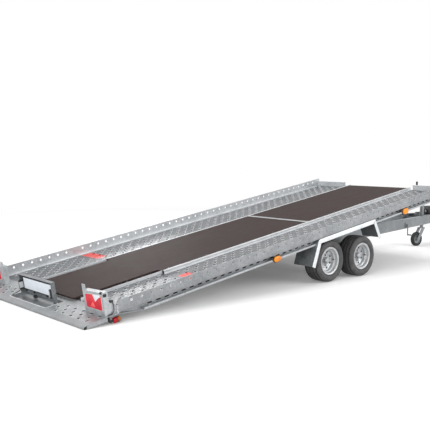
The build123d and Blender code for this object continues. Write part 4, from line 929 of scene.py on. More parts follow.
@dataclass(frozen=True)
class PunchedField:
    """A rectangle of flat sheet with staggered rows of punched holes, in sheet coordinates s and t."""

    punch: Punch
    start: float
    end: float
    rows: tuple[float, ...]
    phases: tuple[float, ...]

    def stations(self) -> np.ndarray:
        """Give the s values that all rows share along their borders: one grid through every brick's corners.

        Returns:
            The s values, rising.
        """
        step = self.punch.pitch / self.punch.along_steps
        first = math.ceil((self.start - self.phases[0]) / step - 1e-6)
        last = math.floor((self.end - self.phases[0]) / step + 1e-6)
        inner = self.phases[0] + step * np.arange(first, last + 1)
        return np.unique(np.round(np.concatenate([[self.start], inner, [self.end]]), WELD_DIGITS))

    def shell(self) -> Shell:
        """Lay the bricks of each row side by side, and fill what is left at both ends with flat sheet.

        Returns:
            The field's shell in s, t and height.
        """
        stations = self.stations()
        brick = self.punch.brick()
        half = self.punch.pitch / 2
        parts = []
        for t, phase in zip(self.rows, self.phases):
            first = math.ceil((self.start + half - phase) / self.punch.pitch - 1e-6)
            last = math.floor((self.end - half - phase) / self.punch.pitch + 1e-6)
            centres = phase + self.punch.pitch * np.arange(first, last + 1)
            places = np.stack([centres, np.full(len(centres), t), np.zeros(len(centres))], -1)
            parts.append(brick.at(places))
            across = t + np.linspace(-0.5, 0.5, self.punch.across_steps + 1) * self.punch.row
            for low, high in ((self.start, centres[0] - half), (centres[-1] + half, self.end)):
                s = stations[(stations >= low - 1e-6) & (stations <= high + 1e-6)]
                if len(s) > 1:
                    s_grid, t_grid = np.meshgrid(s, across, indexing="ij")
                    parts.append(grid(np.stack([s_grid, t_grid, np.zeros(s_grid.shape)], -1)))
        return joined(parts)


def strip(s: np.ndarray, line: np.ndarray) -> Shell:
    """Carry a line in Y and Z along X.

    Args:
        s: X values.
        line: rows of Y and Z.

    Returns:
        The strip; its normal is +X crossed with the line's direction.
    """
    points = np.empty((len(s), len(line), 3))
    points[..., 0] = s[:, None]
    points[..., 1:] = line[None]
    return grid(points)


def stand(shell: Shell, origin: tuple[float, float, float], t_axis: tuple[float, float, float]) -> Shell:
    """Put a sheet drawn in s and t into the bed: s runs along X and t along the given axis.

    Args:
        shell: sheet with s, t and height.
        origin: where s = 0 and t = 0 lie.
        t_axis: direction of t.

    Returns:
        The shell in the level bed.
    """
    matrix = np.eye(4)
    s_axis = np.array([1.0, 0.0, 0.0])
    t = np.array(t_axis, float)
    matrix[:3, 0], matrix[:3, 1], matrix[:3, 2], matrix[:3, 3] = s_axis, t, np.cross(s_axis, t), origin
    return shell.moved(matrix)


def painted(shell: Shell, number: int) -> Shell:
    """Give a copy whose faces all take one finish number."""
    return Shell(shell.points, shell.faces, np.full(len(shell.faces), number))


def both_sides(shell: Shell) -> Shell:
    """Give a shell drawn on the left together with its mirror image."""
    return joined([shell, shell.mirrored()])


def round_box(half_x: float, half_y: float, corner: float, steps: int) -> np.ndarray:
    """Give a rectangle with quarter-circle corners, anticlockwise.

    Args:
        half_x: half of the length.
        half_y: half of the width.
        corner: radius of the corners.
        steps: points per corner.

    Returns:
        Rows of x and y.
    """
    angle = np.linspace(0, math.pi / 2, steps)
    quarter = corner * np.stack([np.cos(angle), np.sin(angle)], -1)
    centres = ((half_x - corner, half_y - corner), (-half_x + corner, half_y - corner),
               (-half_x + corner, -half_y + corner), (half_x - corner, -half_y + corner))
    turn = np.array([[0.0, 1.0], [-1.0, 0.0]])
    corners = []
    for index, centre in enumerate(centres):
        corners.append(quarter @ np.linalg.matrix_power(turn, index) + centre)
    return np.concatenate(corners)


def prism(outline: np.ndarray, levels: tuple[tuple[float, float], ...]) -> Shell:
    """Stack an outline along +Z: at each level (z, inset) every point moves towards the middle by the inset.

    Args:
        outline: rows of x and y, anticlockwise.
        levels: height and inset of each ring, from the bottom up.

    Returns:
        The shell, closed at both ends.
    """
    middle = outline.mean(axis=0)
    reach = np.abs(outline - middle).max(axis=0)
    rings = [np.column_stack([middle + (outline - middle) * (1 - inset / reach), np.full(len(outline), z)])
             for z, inset in levels]
    ends = [np.tile([middle[0], middle[1], z], (len(outline), 1)) for z in (levels[0][0], levels[-1][0])]
    return grid(np.array([ends[0], *rings, ends[1]]), close_v=True).flipped()


def block(low: tuple[float, float, float], high: tuple[float, float, float], edge: float = 0.6 * MM) -> Shell:
    """Make a box with small chamfers: a rectangle stacked with an inset at its bottom and top.

    Args:
        low: lowest corner.
        high: highest corner.
        edge: width of the chamfer.

    Returns:
        The closed shell.
    """
    low, high = np.array(low), np.array(high)
    half = (high - low) / 2
    shape = prism(round_box(half[0], half[1], edge, 2),
                  ((-half[2], edge), (-half[2] + edge, 0.0), (half[2] - edge, 0.0), (half[2], edge)))
    return Shell(shape.points + (low + high) / 2, shape.faces, shape.finish)


@dataclass
class Lanes:
    """The folded wheel lanes: bead, punched floor and rail with its row of lashing holes."""

    frame: dict
    bed: BedFrame
    finishes: FinishBook
    # the collar's bands take painted highlight, and the hole's two inner bands painted shade
    grip: Punch = Punch(0.1175, 0.060, ((0.0205, 0.0), (0.0162, 0.0034), (0.0138, 0.0030), (0.0128, 0.0004),
                                        (0.0126, -0.0090)),
                        tones=(LaneFace.FLOOR,) + 2 * (LaneFace.COLLAR,) + 2 * (LaneFace.HOLE,))
    lash: Punch = Punch(0.100, 0.060, ((0.012, 0.0),))
    sheet: float = 3 * MM
    bead_width: float = 22 * MM
    bead_height: float = 30 * MM
    fold_radius: float = 6 * MM
    first_row: float = 0.415
    rear_inner: float = 0.383
    lash_below_top: float = 33 * MM
    lash_behind_pivot: float = 2.7666
    grip_ahead_of_lash: float = 0.1465
    plain_edge: float = 2 * MM
    cap_length: float = 34 * MM
    joint_gap: float = 1.5 * MM

    def rows(self, inner: float, outer: float) -> list[int]:
        """Count the rows of grip holes whose bricks fit between two Y values."""
        half = self.grip.row / 2
        return [k for k in range(40)
                if inner + half <= self.first_row + k * self.grip.row + 1e-9 <= outer - half]

    def grip_phase(self, row: int, first_hole_x: float) -> float:
        """Give the X of one hole of a row; odd rows are half a pitch off even ones."""
        return first_hole_x + (0.5 * self.grip.pitch if row % 2 else 0.0)

    def half_sheet(self, start: float, end: float, inner: float, rail: float, floor: float, top: float,
                   hole_x: float, lash_x: float, bead: bool) -> Shell:
        """Fold one left lane: bead, plain edge, punched field, plain edge, rail.

        Args:
            start: rear X.
            end: front X.
            inner: Y of the inner edge.
            rail: inner Y of the rail.
            floor: Z of the floor's upper face.
            top: Z of the rail's top.
            hole_x: X of one grip hole of an even row.
            lash_x: X of one lashing hole.
            bead: whether the inner edge is folded up into a bead.

        Returns:
            The open sheet, its upper side outwards.
        """
        field_inner = inner + (self.bead_width if bead else 0.0)
        numbers = self.rows(field_inner + self.plain_edge, rail - self.plain_edge)
        rows = tuple(self.first_row + k * self.grip.row for k in numbers)
        phases = tuple(self.grip_phase(k, hole_x) for k in numbers)
        punched = PunchedField(self.grip, start, end, rows, phases)
        s = punched.stations()
        low, high = rows[0] - self.grip.row / 2, rows[-1] + self.grip.row / 2
        bend = self.fold_radius
        parts = [stand(punched.shell(), (0, 0, floor), (0, 1, 0))]
        if bead:
            corners = np.array([(inner, floor - self.sheet), (inner, floor + self.bead_height),
                                (field_inner, floor + self.bead_height), (field_inner, floor), (low, floor)])
            # the bead takes its painted highlight finish
            parts.append(painted(strip(s, rounded(corners, bend)), LaneFace.BEAD))
        else:
            parts.append(strip(s, np.array([(inner, floor), (low, floor)])))
        band = PunchedField(self.lash, start, end, (top - self.lash_below_top,), (lash_x,))
        r = band.stations()
        middle, half = top - self.lash_below_top, self.lash.row / 2
        foot, head = middle - half, middle + half
        fold = rounded(np.array([(high, floor), (rail, floor), (rail, foot)]), bend)
        upright = joined([stand(band.shell(), (0, rail, 0), (0, 0, 1)), strip(r, fold),
                          strip(r, np.array([(rail, head), (rail, top)]))])
        return joined([*parts, painted(upright, LaneFace.RAIL)]).welded()

    def cap(self, start: float, inner: float, floor: float) -> Shell:
        """Plug the rear end of a bead: a moulded block with a rounded nose, a little larger than the bead.

        Args:
            start: X of the bead's rear end.
            inner: Y of the bead's inner edge.
            floor: Z of the lane's floor.

        Returns:
            The plug's shell.
        """
        outer = inner + self.bead_width
        top = floor + self.bead_height
        return block((start - 6 * MM, inner + 1 * MM, floor + 1 * MM),
                     (start + self.cap_length, outer - 1 * MM, top - 1 * MM), 3 * MM)

    def build(self) -> None:
        """Make both front lanes and the pair of rear lanes in place of their CAD nodes."""
        low, high = self.bed.level_box(self.frame, "lane_left")
        rear_low, _ = self.bed.level_box(self.frame, "rear_lanes")
        top, floor = high[2], rear_low[2] + self.sheet
        rail = high[1] - self.sheet
        lash_x = self.bed.pivot[0] - self.lash_behind_pivot
        hole_x = lash_x + self.grip_ahead_of_lash
        tipped = self.bed.matrix()
        f = self.finishes
        # floor, rail inside in painted light, bead and collars in painted highlight, holes and back in
        # painted shade
        materials = [f.lane, f.rail, f.bead, f.collar, f.shade, f.back]
        front = self.half_sheet(low[0], high[0], low[1], rail, floor, top, hole_x, lash_x, True)
        for hand, lane in (("left", front), ("right", front.mirrored())):
            put(f"punched_lane_{hand}", lane.moved(tipped), materials, Body.BED.value,
                (f"lane_{hand}",), self.sheet, behind=LaneFace.BACK)
        joint = low[0] - self.joint_gap
        rear = self.half_sheet(rear_low[0], joint, self.rear_inner, rail, floor, top, hole_x, lash_x, False)
        put("punched_rear_lanes", joined([rear, rear.mirrored()]).moved(tipped), materials, Body.BED.value,
            ("rear_lanes",), self.sheet, behind=LaneFace.BACK)
        _, panel = self.bed.level_box(self.frame, "deck_panel_rear")
        # the lip at the plywood's edge takes painted highlight
        edge = block((rear_low[0], panel[1] + 1.3 * MM, floor),
                     (joint, panel[1] + 3.8 * MM, floor + self.bead_height - 1 * MM))
        put("rear_lane_edges", both_sides(edge).moved(tipped), [self.finishes.zinc_painted_highlight], Body.BED.value)
        put("bead_end_plugs", both_sides(self.cap(low[0], low[1], floor)).moved(tipped),
            [self.finishes.plastic], Body.BED.value)


# ---------------------------------------------------------------- wheels
@dataclass
class Tyres:
    """Radial trailer tyres: ribbed tread with cut shoulders, round sidewalls and bead rings."""

    frame: dict
    finishes: FinishBook
    steps: int = 288
    lugs: int = 48
    groove_depth: float = 8 * MM
    groove_width: float = 11 * MM
    bead_radius: float = 142 * MM

    def profile(self, radius: float, half: float) -> np.ndarray:
        """Give y and radius from bead to bead: sidewalls as half ovals, tread as a slightly crowned line.

        Args:
            radius: outer radius.
            half: half of the width.

        Returns:
            Rows of y, radius and share of tread, from 0 on the sidewall to 1 on the tread.
        """
        tread_half = half * 0.74
        y = np.linspace(-tread_half, tread_half, 61)
        tread = np.column_stack([y, radius - 3 * MM * (y / tread_half) ** 2, np.ones(len(y))])
        angle = np.linspace(math.radians(68), math.radians(-58), 20)
        middle = (radius + self.bead_radius) / 2
        tall = (radius - self.bead_radius) / 2
        wall_y = tread_half * 0.80 + (half - tread_half * 0.80) * np.cos(angle)
        wall_r = middle + tall * np.sin(angle) * 1.05
        rib = -1.2 * MM * (np.abs(np.arange(20) - 12) < 1) - 1.0 * MM * (np.abs(np.arange(20) - 5) < 1)
        wall = np.column_stack([wall_y + rib, np.minimum(wall_r, radius - 4 * MM), np.zeros(20)])
        left = wall[::-1] * (-1, 1, 1)
        return np.concatenate([left, tread, wall])

    def shell(self, radius: float, half: float) -> Shell:
        """Turn the profile and press the grooves: four rings, and a cut at each lug on the shoulders.

        Args:
            radius: outer radius.
            half: half of the width.

        Returns:
            The tyre's shell about the Y axis.
        """
        profile = self.profile(radius, half)
        angle = np.linspace(0, math.tau, self.steps, endpoint=False)[:, None]
        y, r, tread = profile[:, 0][None], profile[:, 1][None], profile[:, 2][None]
        rings = np.array([-0.45, -0.15, 0.15, 0.45]) * 2 * half * 0.74
        near = np.min(np.abs(y[..., None] - rings), axis=-1)
        ring = np.clip(1 - (near / (self.groove_width / 2)) ** 4, 0, 1)
        shoulder = np.clip((np.abs(y) - half * 0.46) / (half * 0.1), 0, 1)
        wave = np.cos(angle * self.lugs + 6 * y / half)
        cut = np.clip((wave - 0.72) / 0.15, 0, 1) * shoulder
        sipe = np.clip((np.cos(angle * self.lugs + 40 * y) - 0.9) / 0.08, 0, 1) * (1 - shoulder) * 0.35
        depth = self.groove_depth * np.maximum.reduce([np.broadcast_to(ring, cut.shape), cut, sipe]) * tread
        radius_all = np.broadcast_to(r, depth.shape) - depth
        points = np.stack([radius_all * np.cos(angle), np.broadcast_to(y, depth.shape),
                           radius_all * np.sin(angle)], -1)
        seat_half, seat = half * 0.78, self.bead_radius - 8 * MM
        inner = turned(np.array([[-seat_half, seat], [seat_half, seat]]), self.steps)
        ribs = grid(points, close_u=True)
        # faces deep in the grooves take the second finish: painted shade, darker rubber
        groove_shade_faces = depth.ravel()[ribs.faces].mean(axis=1) > self.groove_depth * 0.45
        outer = Shell(ribs.points, ribs.faces, groove_shade_faces.astype(int)).flipped()
        lips = []
        for sign in (1, -1):
            edge = profile[-1] if sign > 0 else profile[0]
            line = np.array([[edge[0], edge[1]], [sign * seat_half, seat]])
            lip = turned(line, self.steps)
            lips.append(lip.flipped() if sign > 0 else lip)
        return joined([outer, inner, *lips])

    def build(self) -> None:
        """Make the four tyres in place of their CAD nodes."""
        for end in ("front", "rear"):
            for hand in ("left", "right"):
                node = f"tyre_{end}_{hand}"
                low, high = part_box(node)
                centre = (low + high) / 2
                shell = self.shell((high.z - low.z) / 2, (high.y - low.y) / 2)
                place = np.eye(4)
                place[:3, 3] = centre
                put(f"treaded_{node}", shell.moved(place), [self.finishes.tyre, self.finishes.groove_painted_shade],
                    f"wheel_{end}_{hand}", (node,), smooth=40.0)


@dataclass
class Rims:
    """Pressed steel wheels: well rim with rolled flanges, dished disc with vents, hub cap, bolts and drum."""

    frame: dict
    finishes: FinishBook
    steps: int = 96
    flange: float = 142.5 * MM
    seat: float = 127 * MM
    well: float = 111 * MM
    half_width: float = 82 * MM
    wall: float = 4 * MM
    face_y: float = 10 * MM
    rise: float = 8 * MM
    vents: int = 8
    vent_circle: float = 88 * MM
    vent_radius: float = 10 * MM
    vent_band: float = 26 * MM
    bolt_circle: float = 56 * MM
    bolts: int = 5
    cap_radius: float = 32 * MM
    cap_length: float = 46 * MM
    drum_radius: float = 92 * MM
    drum_depth: float = 66 * MM

    def barrel(self) -> Shell:
        """Turn the rim's closed section: beads, seats and well outside, the same a wall smaller inside.

        Returns:
            The barrel's shell.
        """
        f, g, w, t = (size / MM for size in (self.flange, self.well, self.half_width, self.wall))
        seat = self.seat / MM
        outside = np.array([(w + 1, f), (w - t, f - 3), (w - t, seat), (48, seat - 2), (40, g)])
        inside = np.array([(w + 2, f - 3), (w, f - 7), (w - 1, seat - t), (51, seat - 2 - t), (43, g - t)])
        other = (-1, 1)
        section = np.concatenate([outside, outside[::-1] * other, inside * other, inside[::-1], outside[:1]])
        return turned(rounded(section * MM, 2.4 * MM, 3), self.steps)

    def dish(self, radius: np.ndarray) -> np.ndarray:
        """Give the y of the disc's face: flat middle, then a smooth rise to the rim by a cosine in radius.

        Args:
            radius: distances from the axle.

        Returns:
            The y of the face at each distance.
        """
        share = np.clip((radius - 70 * MM) / (self.well - 3 * MM - 70 * MM), 0, 1)
        crown = 5 * MM * np.exp(-((radius - 73 * MM) / (5 * MM)) ** 2)
        return self.face_y + self.rise * (1 - np.cos(share * math.pi)) / 2 + crown

    def disc(self) -> Shell:
        """Close the disc: turned middle and edge, and between them a ring of vents bent round the axle.

        Returns:
            The disc's shell.
        """
        low, high = self.vent_circle - self.vent_band / 2, self.vent_circle + self.vent_band / 2
        pitch = math.tau / self.vents * self.vent_circle
        v = self.vent_radius
        rings = ((v * 1.25, 0.0), (v * 1.05, -0.5 * MM), (v, -2 * MM), (v, -5 * MM))
        punch = Punch(pitch, self.vent_band, rings, 12, 4)
        brick = punch.brick()
        centres = (np.arange(self.vents) + 0.5) * pitch
        band = brick.at(np.stack([centres, np.zeros(self.vents), np.zeros(self.vents)], -1))
        angle, radius = band.points[:, 0] / self.vent_circle, self.vent_circle + band.points[:, 1]
        y = self.dish(radius) + band.points[:, 2]
        bent = Shell(np.stack([radius * np.cos(angle), y, radius * np.sin(angle)], -1), band.faces,
                     band.finish)
        inner = np.linspace(0, low, 16)
        outer = np.linspace(high, self.well - 3 * MM, 8)
        parts = [bent.flipped()]
        for r in (inner, outer):
            parts.append(turned(np.stack([self.dish(r), r], -1), self.steps))
        return joined(parts)

    def middle(self) -> Shell:
        """Stand the hub cap and wheel bolts on the disc: the cap a rounded cup, each bolt a six-sided head.

        Returns:
            The shell of cap, bolts and valve.
        """
        y, c, n = self.face_y, self.cap_radius, self.cap_length
        cap = turned(rounded(np.array([(y + n, 0.0), (y + n, c * 0.86), (y + n - 8 * MM, c), (y + 14 * MM, c),
                                       (y + 12 * MM, c + 3 * MM), (y - 1 * MM, c + 3 * MM)]), 3 * MM), 48)
        bolt = Bolt(15.0).shell().moved(turn_matrix((0, 1, 0)))
        turns = np.arange(self.bolts) * math.tau / self.bolts
        heads = bolt.at(np.stack([self.bolt_circle * np.cos(turns), np.full(self.bolts, y),
                                  self.bolt_circle * np.sin(turns)], -1))
        valve = tube(np.array([(0.098, 0.030, 0.0), (0.099, 0.042, 0.0), (0.101, 0.056, 0.0)]), 4 * MM, 8)
        return joined([painted(cap, 1), painted(heads, 1), painted(valve, 2)])

    def drum(self) -> Shell:
        """Turn the brake drum behind the disc, with two cooling ribs.

        Returns:
            The drum's shell.
        """
        d, r = self.drum_depth / MM, self.drum_radius / MM
        line = np.array([(-6, 0), (-6, r - 6), (-12, r - 2), (-24, r - 2), (-26, r), (-32, r), (-34, r - 3),
                         (-48, r - 3), (-50, r), (-d, r), (-d, 0)]) * MM + (self.face_y, 0)
        return painted(turned(line, 64), 3)

    def build(self) -> None:
        """Make the four rims in place of their CAD nodes, the right ones mirrored."""
        f = self.finishes
        materials = [f.wheel, f.fixings, f.plastic, f.cast]
        shape = joined([self.barrel(), self.disc(), self.middle(), self.drum()])
        for end in ("front", "rear"):
            for hand, wheel in (("left", shape), ("right", shape.mirrored())):
                low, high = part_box(f"tyre_{end}_{hand}")
                place = np.eye(4)
                place[:3, 3] = (low + high) / 2
                put(f"pressed_rim_{end}_{hand}", wheel.moved(place), materials, f"wheel_{end}_{hand}",
                    (f"rim_{end}_{hand}",), smooth=38.0)


@dataclass
class JockeyWheel:
    """Solid rubber castor on a pressed steel hub, in place of the plain CAD wheel."""

    frame: dict
    finishes: FinishBook
    steps: int = 64

    def shell(self, radius: float, half: float) -> Shell:
        """Turn tyre and hub: the tyre is a round-shouldered band, the hub two dished faces round a bush.

        Args:
            radius: outer radius of the tyre.
            half: half of its width.

        Returns:
            The wheel's shell.
        """
        tyre_inner = radius * 0.62
        h = half - 4 * MM
        side = np.array([(h * 0.8, tyre_inner), (h, radius * 0.72), (h, radius * 0.84), (h * 0.55, radius)])
        tyre = rounded(np.concatenate([side, side[::-1] * (-1, 1), side[:1]]), 4 * MM, 4)
        hub = rounded(np.array([(h * 0.86, tyre_inner), (h * 0.86, tyre_inner - 5 * MM),
                                (h * 0.3, tyre_inner - 10 * MM), (h * 0.3, radius * 0.28),
                                (half, radius * 0.22), (half, radius * 0.09)]), 2 * MM, 3)
        front = turned(hub[::-1], self.steps)
        back = turned(hub * (-1, 1), self.steps)
        return joined([turned(tyre, self.steps), painted(front, 1), painted(back, 1)])

    def build(self) -> None:
        """Make the wheel in place of its CAD node, square to its own axle."""
        joint = next(j for j in self.frame["joints"] if j["name"] == "jockey_spin")
        place = np.array(joint["pos_m"], float)
        axle = np.array(joint["axis"], float)
        matrix = np.eye(4)
        forward = np.cross(axle, (0, 0, 1))
        matrix[:3, 0], matrix[:3, 1], matrix[:3, 2], matrix[:3, 3] = forward, axle, (0, 0, 1), place
        shell = self.shell(place[2], 29 * MM)
        put("jockey_tyre_and_hub", shell.moved(matrix), [self.finishes.rubber, self.finishes.zinc],
            Body.CASTOR.value, ("jockey_wheel",), smooth=38.0)


# ---------------------------------------------------------------- mudguards
@dataclass
class Mudguards:
    """Angular sheet arches: a broad path carried across, its outer edge folded into a flat lip in painted
    highlight.
    """

    frame: dict
    bed: BedFrame
    finishes: FinishBook
    rear_top_x: float = -490 * MM
    front_top_x: float = 453 * MM
    rear_foot: tuple[float, float] = (-627 * MM, 295 * MM)
    front_foot: tuple[float, float] = (537 * MM, 316 * MM)
    lip: float = 44 * MM
    sheet: float = 2.5 * MM
    bend: float = 22 * MM

    def path(self, top: float) -> tuple[np.ndarray, np.ndarray]:
        """Give the arch's line in X and Z with rounded bends, and the inward step for one unit of inset.

        Args:
            top: Z of the guard's flat top.

        Returns:
            The line's points, and the inward step at each.
        """
        px = self.bed.pivot[0]
        corners = np.array([(px + self.rear_foot[0], self.rear_foot[1]), (px + self.rear_top_x, top),
                            (px + self.front_top_x, top), (px + self.front_foot[0], self.front_foot[1])])
        line = rounded(corners, self.bend, 6)
        segments = np.diff(line, axis=0)
        normals = np.stack([segments[:, 1], -segments[:, 0]], -1) / np.linalg.norm(segments, axis=1)[:, None]
        before = np.vstack([normals[:1], normals])
        after = np.vstack([normals, normals[-1:]])
        step = (before + after) / (1 + (before * after).sum(axis=1))[:, None]
        return line, step

    def shell(self, inner: float, outer: float, top: float) -> Shell:
        """Carry the section along the path: sheet from inner to outer Y, a round fold, then the lip inwards.

        Args:
            inner: Y of the inner edge.
            outer: Y of the outer edge.
            top: Z of the flat top.

        Returns:
            The guard's shell.
        """
        line, step = self.path(top)
        angle = np.linspace(0, math.pi / 2, 5)
        r = 5 * MM
        section = np.concatenate([[(inner, 0.0), (outer - r, 0.0)],
                                  np.stack([outer - r + r * np.sin(angle), r - r * np.cos(angle)], -1)[1:],
                                  [(outer, self.lip)]])
        points = np.empty((len(line), len(section), 3))
        points[..., 0] = line[:, None, 0] + step[:, None, 0] * section[None, :, 1]
        points[..., 2] = line[:, None, 1] + step[:, None, 1] * section[None, :, 1]
        points[..., 1] = section[None, :, 0]
        shell = grid(points)
        # the fold and lip take the second finish: painted highlight
        edge = np.tile(np.arange(len(section) - 1) >= 2, len(line) - 1)
        return Shell(shell.points, shell.faces, np.where(edge, 1, 0))

    def build(self) -> None:
        """Make both mudguards in place of their CAD nodes."""
        low, high = self.bed.level_box(self.frame, "mudguard_left")
        shell = self.shell(low[1], high[1] - 0.5 * MM, high[2])
        tipped = self.bed.matrix()
        materials = [self.finishes.zinc, self.finishes.zinc_painted_highlight]
        for hand, guard in (("left", shell), ("right", shell.mirrored())):
            put(f"folded_mudguard_{hand}", guard.moved(tipped), materials, Body.BED.value,
                (f"mudguard_{hand}",), self.sheet)


# ---------------------------------------------------------------- rear end
@dataclass
class Apron:
    """Rolled collars round the apron's grip holes, in painted highlight with painted shade down the holes,
    and a lip at the pocket in painted highlight.
    """

    frame: dict
    bed: BedFrame
    finishes: FinishBook
    hole_first: float = 77.5 * MM
    column_pitch: float = 57.5 * MM
    row_pitch: float = 120 * MM
    rows: int = 5
    inner_y: float = 415 * MM
    pocket_half: float = 322 * MM
    pocket_margin: float = 67 * MM
    collar: tuple[tuple[float, float], ...] = ((20.0, 0.1), (18.6, 1.2), (16.0, 2.4), (14.2, 2.0),
                                               (12.6, 0.4), (12.4, -9.0))

    def collars(self, rear: float, top: float) -> Shell:
        """Turn one collar from its rings of radius and height in millimetres, and set it round every hole.

        Args:
            rear: X of the apron's rear edge.
            top: Z of its upper face.

        Returns:
            The collars of both halves.
        """
        rings = np.array(self.collar)[::-1] * MM
        angle = np.linspace(0, math.tau, 16, endpoint=False)
        points = np.stack([rings[None, :, 0] * np.cos(angle)[:, None],
                           rings[None, :, 0] * np.sin(angle)[:, None],
                           np.broadcast_to(rings[None, :, 1], (16, len(rings)))], -1)
        ring = grid(points[:, ::-1], close_u=True).flipped()
        # the outer three bands take painted highlight, the two deepest painted shade
        ring = Shell(ring.points, ring.faces, np.tile((0, 0, 0, 1, 1), 16))
        places = []
        for column in range(3):
            first = self.inner_y + (0 if column == 1 else self.row_pitch / 2)
            for row in range(self.rows):
                places.append((rear + self.hole_first + column * self.column_pitch,
                               first + row * self.row_pitch, top))
        return both_sides(ring.at(np.array(places)))

    def build(self) -> None:
        """Add the collars and the pocket's lip on the tipped bed."""
        low, high = self.bed.level_box(self.frame, "rear_apron")
        tipped = self.bed.matrix()
        put("apron_hole_collars", self.collars(low[0], high[2]).moved(tipped),
            [self.finishes.zinc_painted_light, self.finishes.shade], Body.BED.value)
        # the pocket's lip takes painted highlight
        x, y, z = low[0] + self.pocket_margin, self.pocket_half, high[2]
        lip = block((x - 9 * MM, -y, z - 1 * MM), (x, y, z + 1.6 * MM), 0.8 * MM)
        sides = block((x, y, z - 1 * MM), (x + 120 * MM, y + 5 * MM, z + 1.2 * MM), 0.6 * MM)
        put("pocket_lips", joined([lip, both_sides(sides)]).moved(tipped), [self.finishes.zinc_painted_highlight],
            Body.BED.value)


@dataclass
class TailLamps:
    """Rear lamp clusters: grey rim, red lens, clear lens in the upper outer corner, triangular reflector."""

    frame: dict
    bed: BedFrame
    finishes: FinishBook
    length: float = 236 * MM
    inner_drop: float = 19 * MM
    rim: float = 7 * MM
    clear_corners: tuple[tuple[float, float], ...] = ((0.50, 0.95), (0.63, 0.52), (0.84, 0.78), (0.95, 0.84),
                                                      (0.95, 0.955))
    reflector_corners: tuple[tuple[float, float], ...] = ((0.28, 0.16), (0.60, 0.16), (0.44, 0.50))

    def outline(self, y_in: float, y_out: float, bottom: float, top: float, inset: float,
                radius: float) -> np.ndarray:
        """Give the lamp's outline as seen from behind: x to the right is -Y, y is up.

        Args:
            y_in: Y of the inner end.
            y_out: Y of the outer end.
            bottom: Z of the lower edge.
            top: Z of the upper edge at the outer end.
            inset: width taken off all round.
            radius: corner radius.

        Returns:
            Rows of x and y, anticlockwise.
        """
        corners = np.array([(-y_out + inset, bottom + inset), (-y_in - inset, bottom + inset),
                            (-y_in - inset, top - self.inner_drop - inset), (-y_out + inset, top - inset)])
        return loop(corners, radius)

    def share(self, y_in: float, y_out: float, bottom: float, top: float, corners: tuple,
              radius: float) -> np.ndarray:
        """Give an outline whose corners are shares of the lamp's length from inside and height from below.

        Args:
            y_in: Y of the inner end.
            y_out: Y of the outer end.
            bottom: Z of the lower edge.
            top: Z of the upper edge at the outer end.
            corners: pairs of shares, along and up.
            radius: corner radius.

        Returns:
            Rows of x and y, anticlockwise.
        """
        points = []
        for along, up in corners:
            y = y_in + (y_out - y_in) * along
            roof = top - self.inner_drop * (1 - along)
            points.append((-y, bottom + (roof - bottom) * up))
        points = np.array(points)
        area = np.sum(points[:, 0] * np.roll(points[:, 1], -1) - np.roll(points[:, 0], -1) * points[:, 1])
        return loop(points if area > 0 else points[::-1], radius)

    def build(self) -> None:
        """Make both lamps in place of their CAD node."""
        low, high = self.bed.level_box(self.frame, "tail_lamps")
        ends = (high[1] - self.length, high[1], low[2], high[2])
        depth = high[0] - low[0]
        turn = turn_matrix((-1, 0, 0), (0, -1, 0), (high[0], 0, 0))
        body = prism(self.outline(*ends, 0.0, 10 * MM),
                     ((0.0, 1 * MM), (depth - 6 * MM, 0.0), (depth - 4 * MM, 1.5 * MM)))
        red = prism(self.outline(*ends, self.rim, 8 * MM),
                    ((depth - 12 * MM, 0.0), (depth - 4 * MM, 0.0), (depth - 1.2 * MM, 2 * MM),
                     (depth - 0.6 * MM, 6 * MM)))
        clear = prism(self.share(*ends, self.clear_corners, 3 * MM),
                      ((depth - 4 * MM, 0.0), (depth - 0.3 * MM, 0.0), (depth, 1.2 * MM)))
        tri = prism(self.share(*ends, self.reflector_corners, 3 * MM),
                    ((depth - 4 * MM, 0.0), (depth - 0.3 * MM, 0.0), (depth, 1.0 * MM)))
        parts = [painted(part, number).moved(turn) for number, part in enumerate((body, red, clear, tri))]
        f = self.finishes
        put("lamp_clusters", both_sides(joined(parts)).moved(self.bed.matrix()),
            [f.rim_grey, f.red_lens, f.clear_lens, f.reflector], Body.BED.value, ("tail_lamps",),
            smooth=30.0)


@dataclass
class LampFittings:
    """Black glands on the lamp box's outer top corner, clip at the rail's end, fixed lead to the marker."""

    frame: dict
    bed: BedFrame
    finishes: FinishBook
    lead_radius: float = 3.5 * MM
    glands_mm: tuple = (((-5, -34, -7), (14, -8, 14)), ((8, -6, -27), (34, 9, -3)))
    clip_mm: tuple = ((57, -14, 92), (87, 6, 112))
    lead_mm: tuple[tuple[float, float, float], ...] = ((42, -20, 118), (68, -10, 106), (80, 4, 98),
                                                       (84, 8, 70), (80, 8, 24), (60, 9, 7), (24, 6, 3))

    def build(self) -> None:
        """Add the glands, clip and lead beside both lamp boxes."""
        low, high = self.bed.level_box(self.frame, "lamp_boxes")
        _, lens_high = self.bed.level_box(self.frame, "tail_lamps")
        foot = np.array([low[0], high[1], low[2]])
        top = np.array([low[0], high[1], lens_high[2]])
        parts = [block(top + np.array(ends[0]) * MM, top + np.array(ends[1]) * MM, 3 * MM)
                 for ends in self.glands_mm]
        parts.append(block(foot + np.array(self.clip_mm[0]) * MM, foot + np.array(self.clip_mm[1]) * MM,
                           3 * MM))
        path = foot + np.array(self.lead_mm) * MM
        parts.append(tube(rounded(path, 9 * MM, 5), self.lead_radius, 8))
        put("lamp_lead_and_glands", both_sides(joined(parts)).moved(self.bed.matrix()),
            [self.finishes.rubber], Body.BED.value)


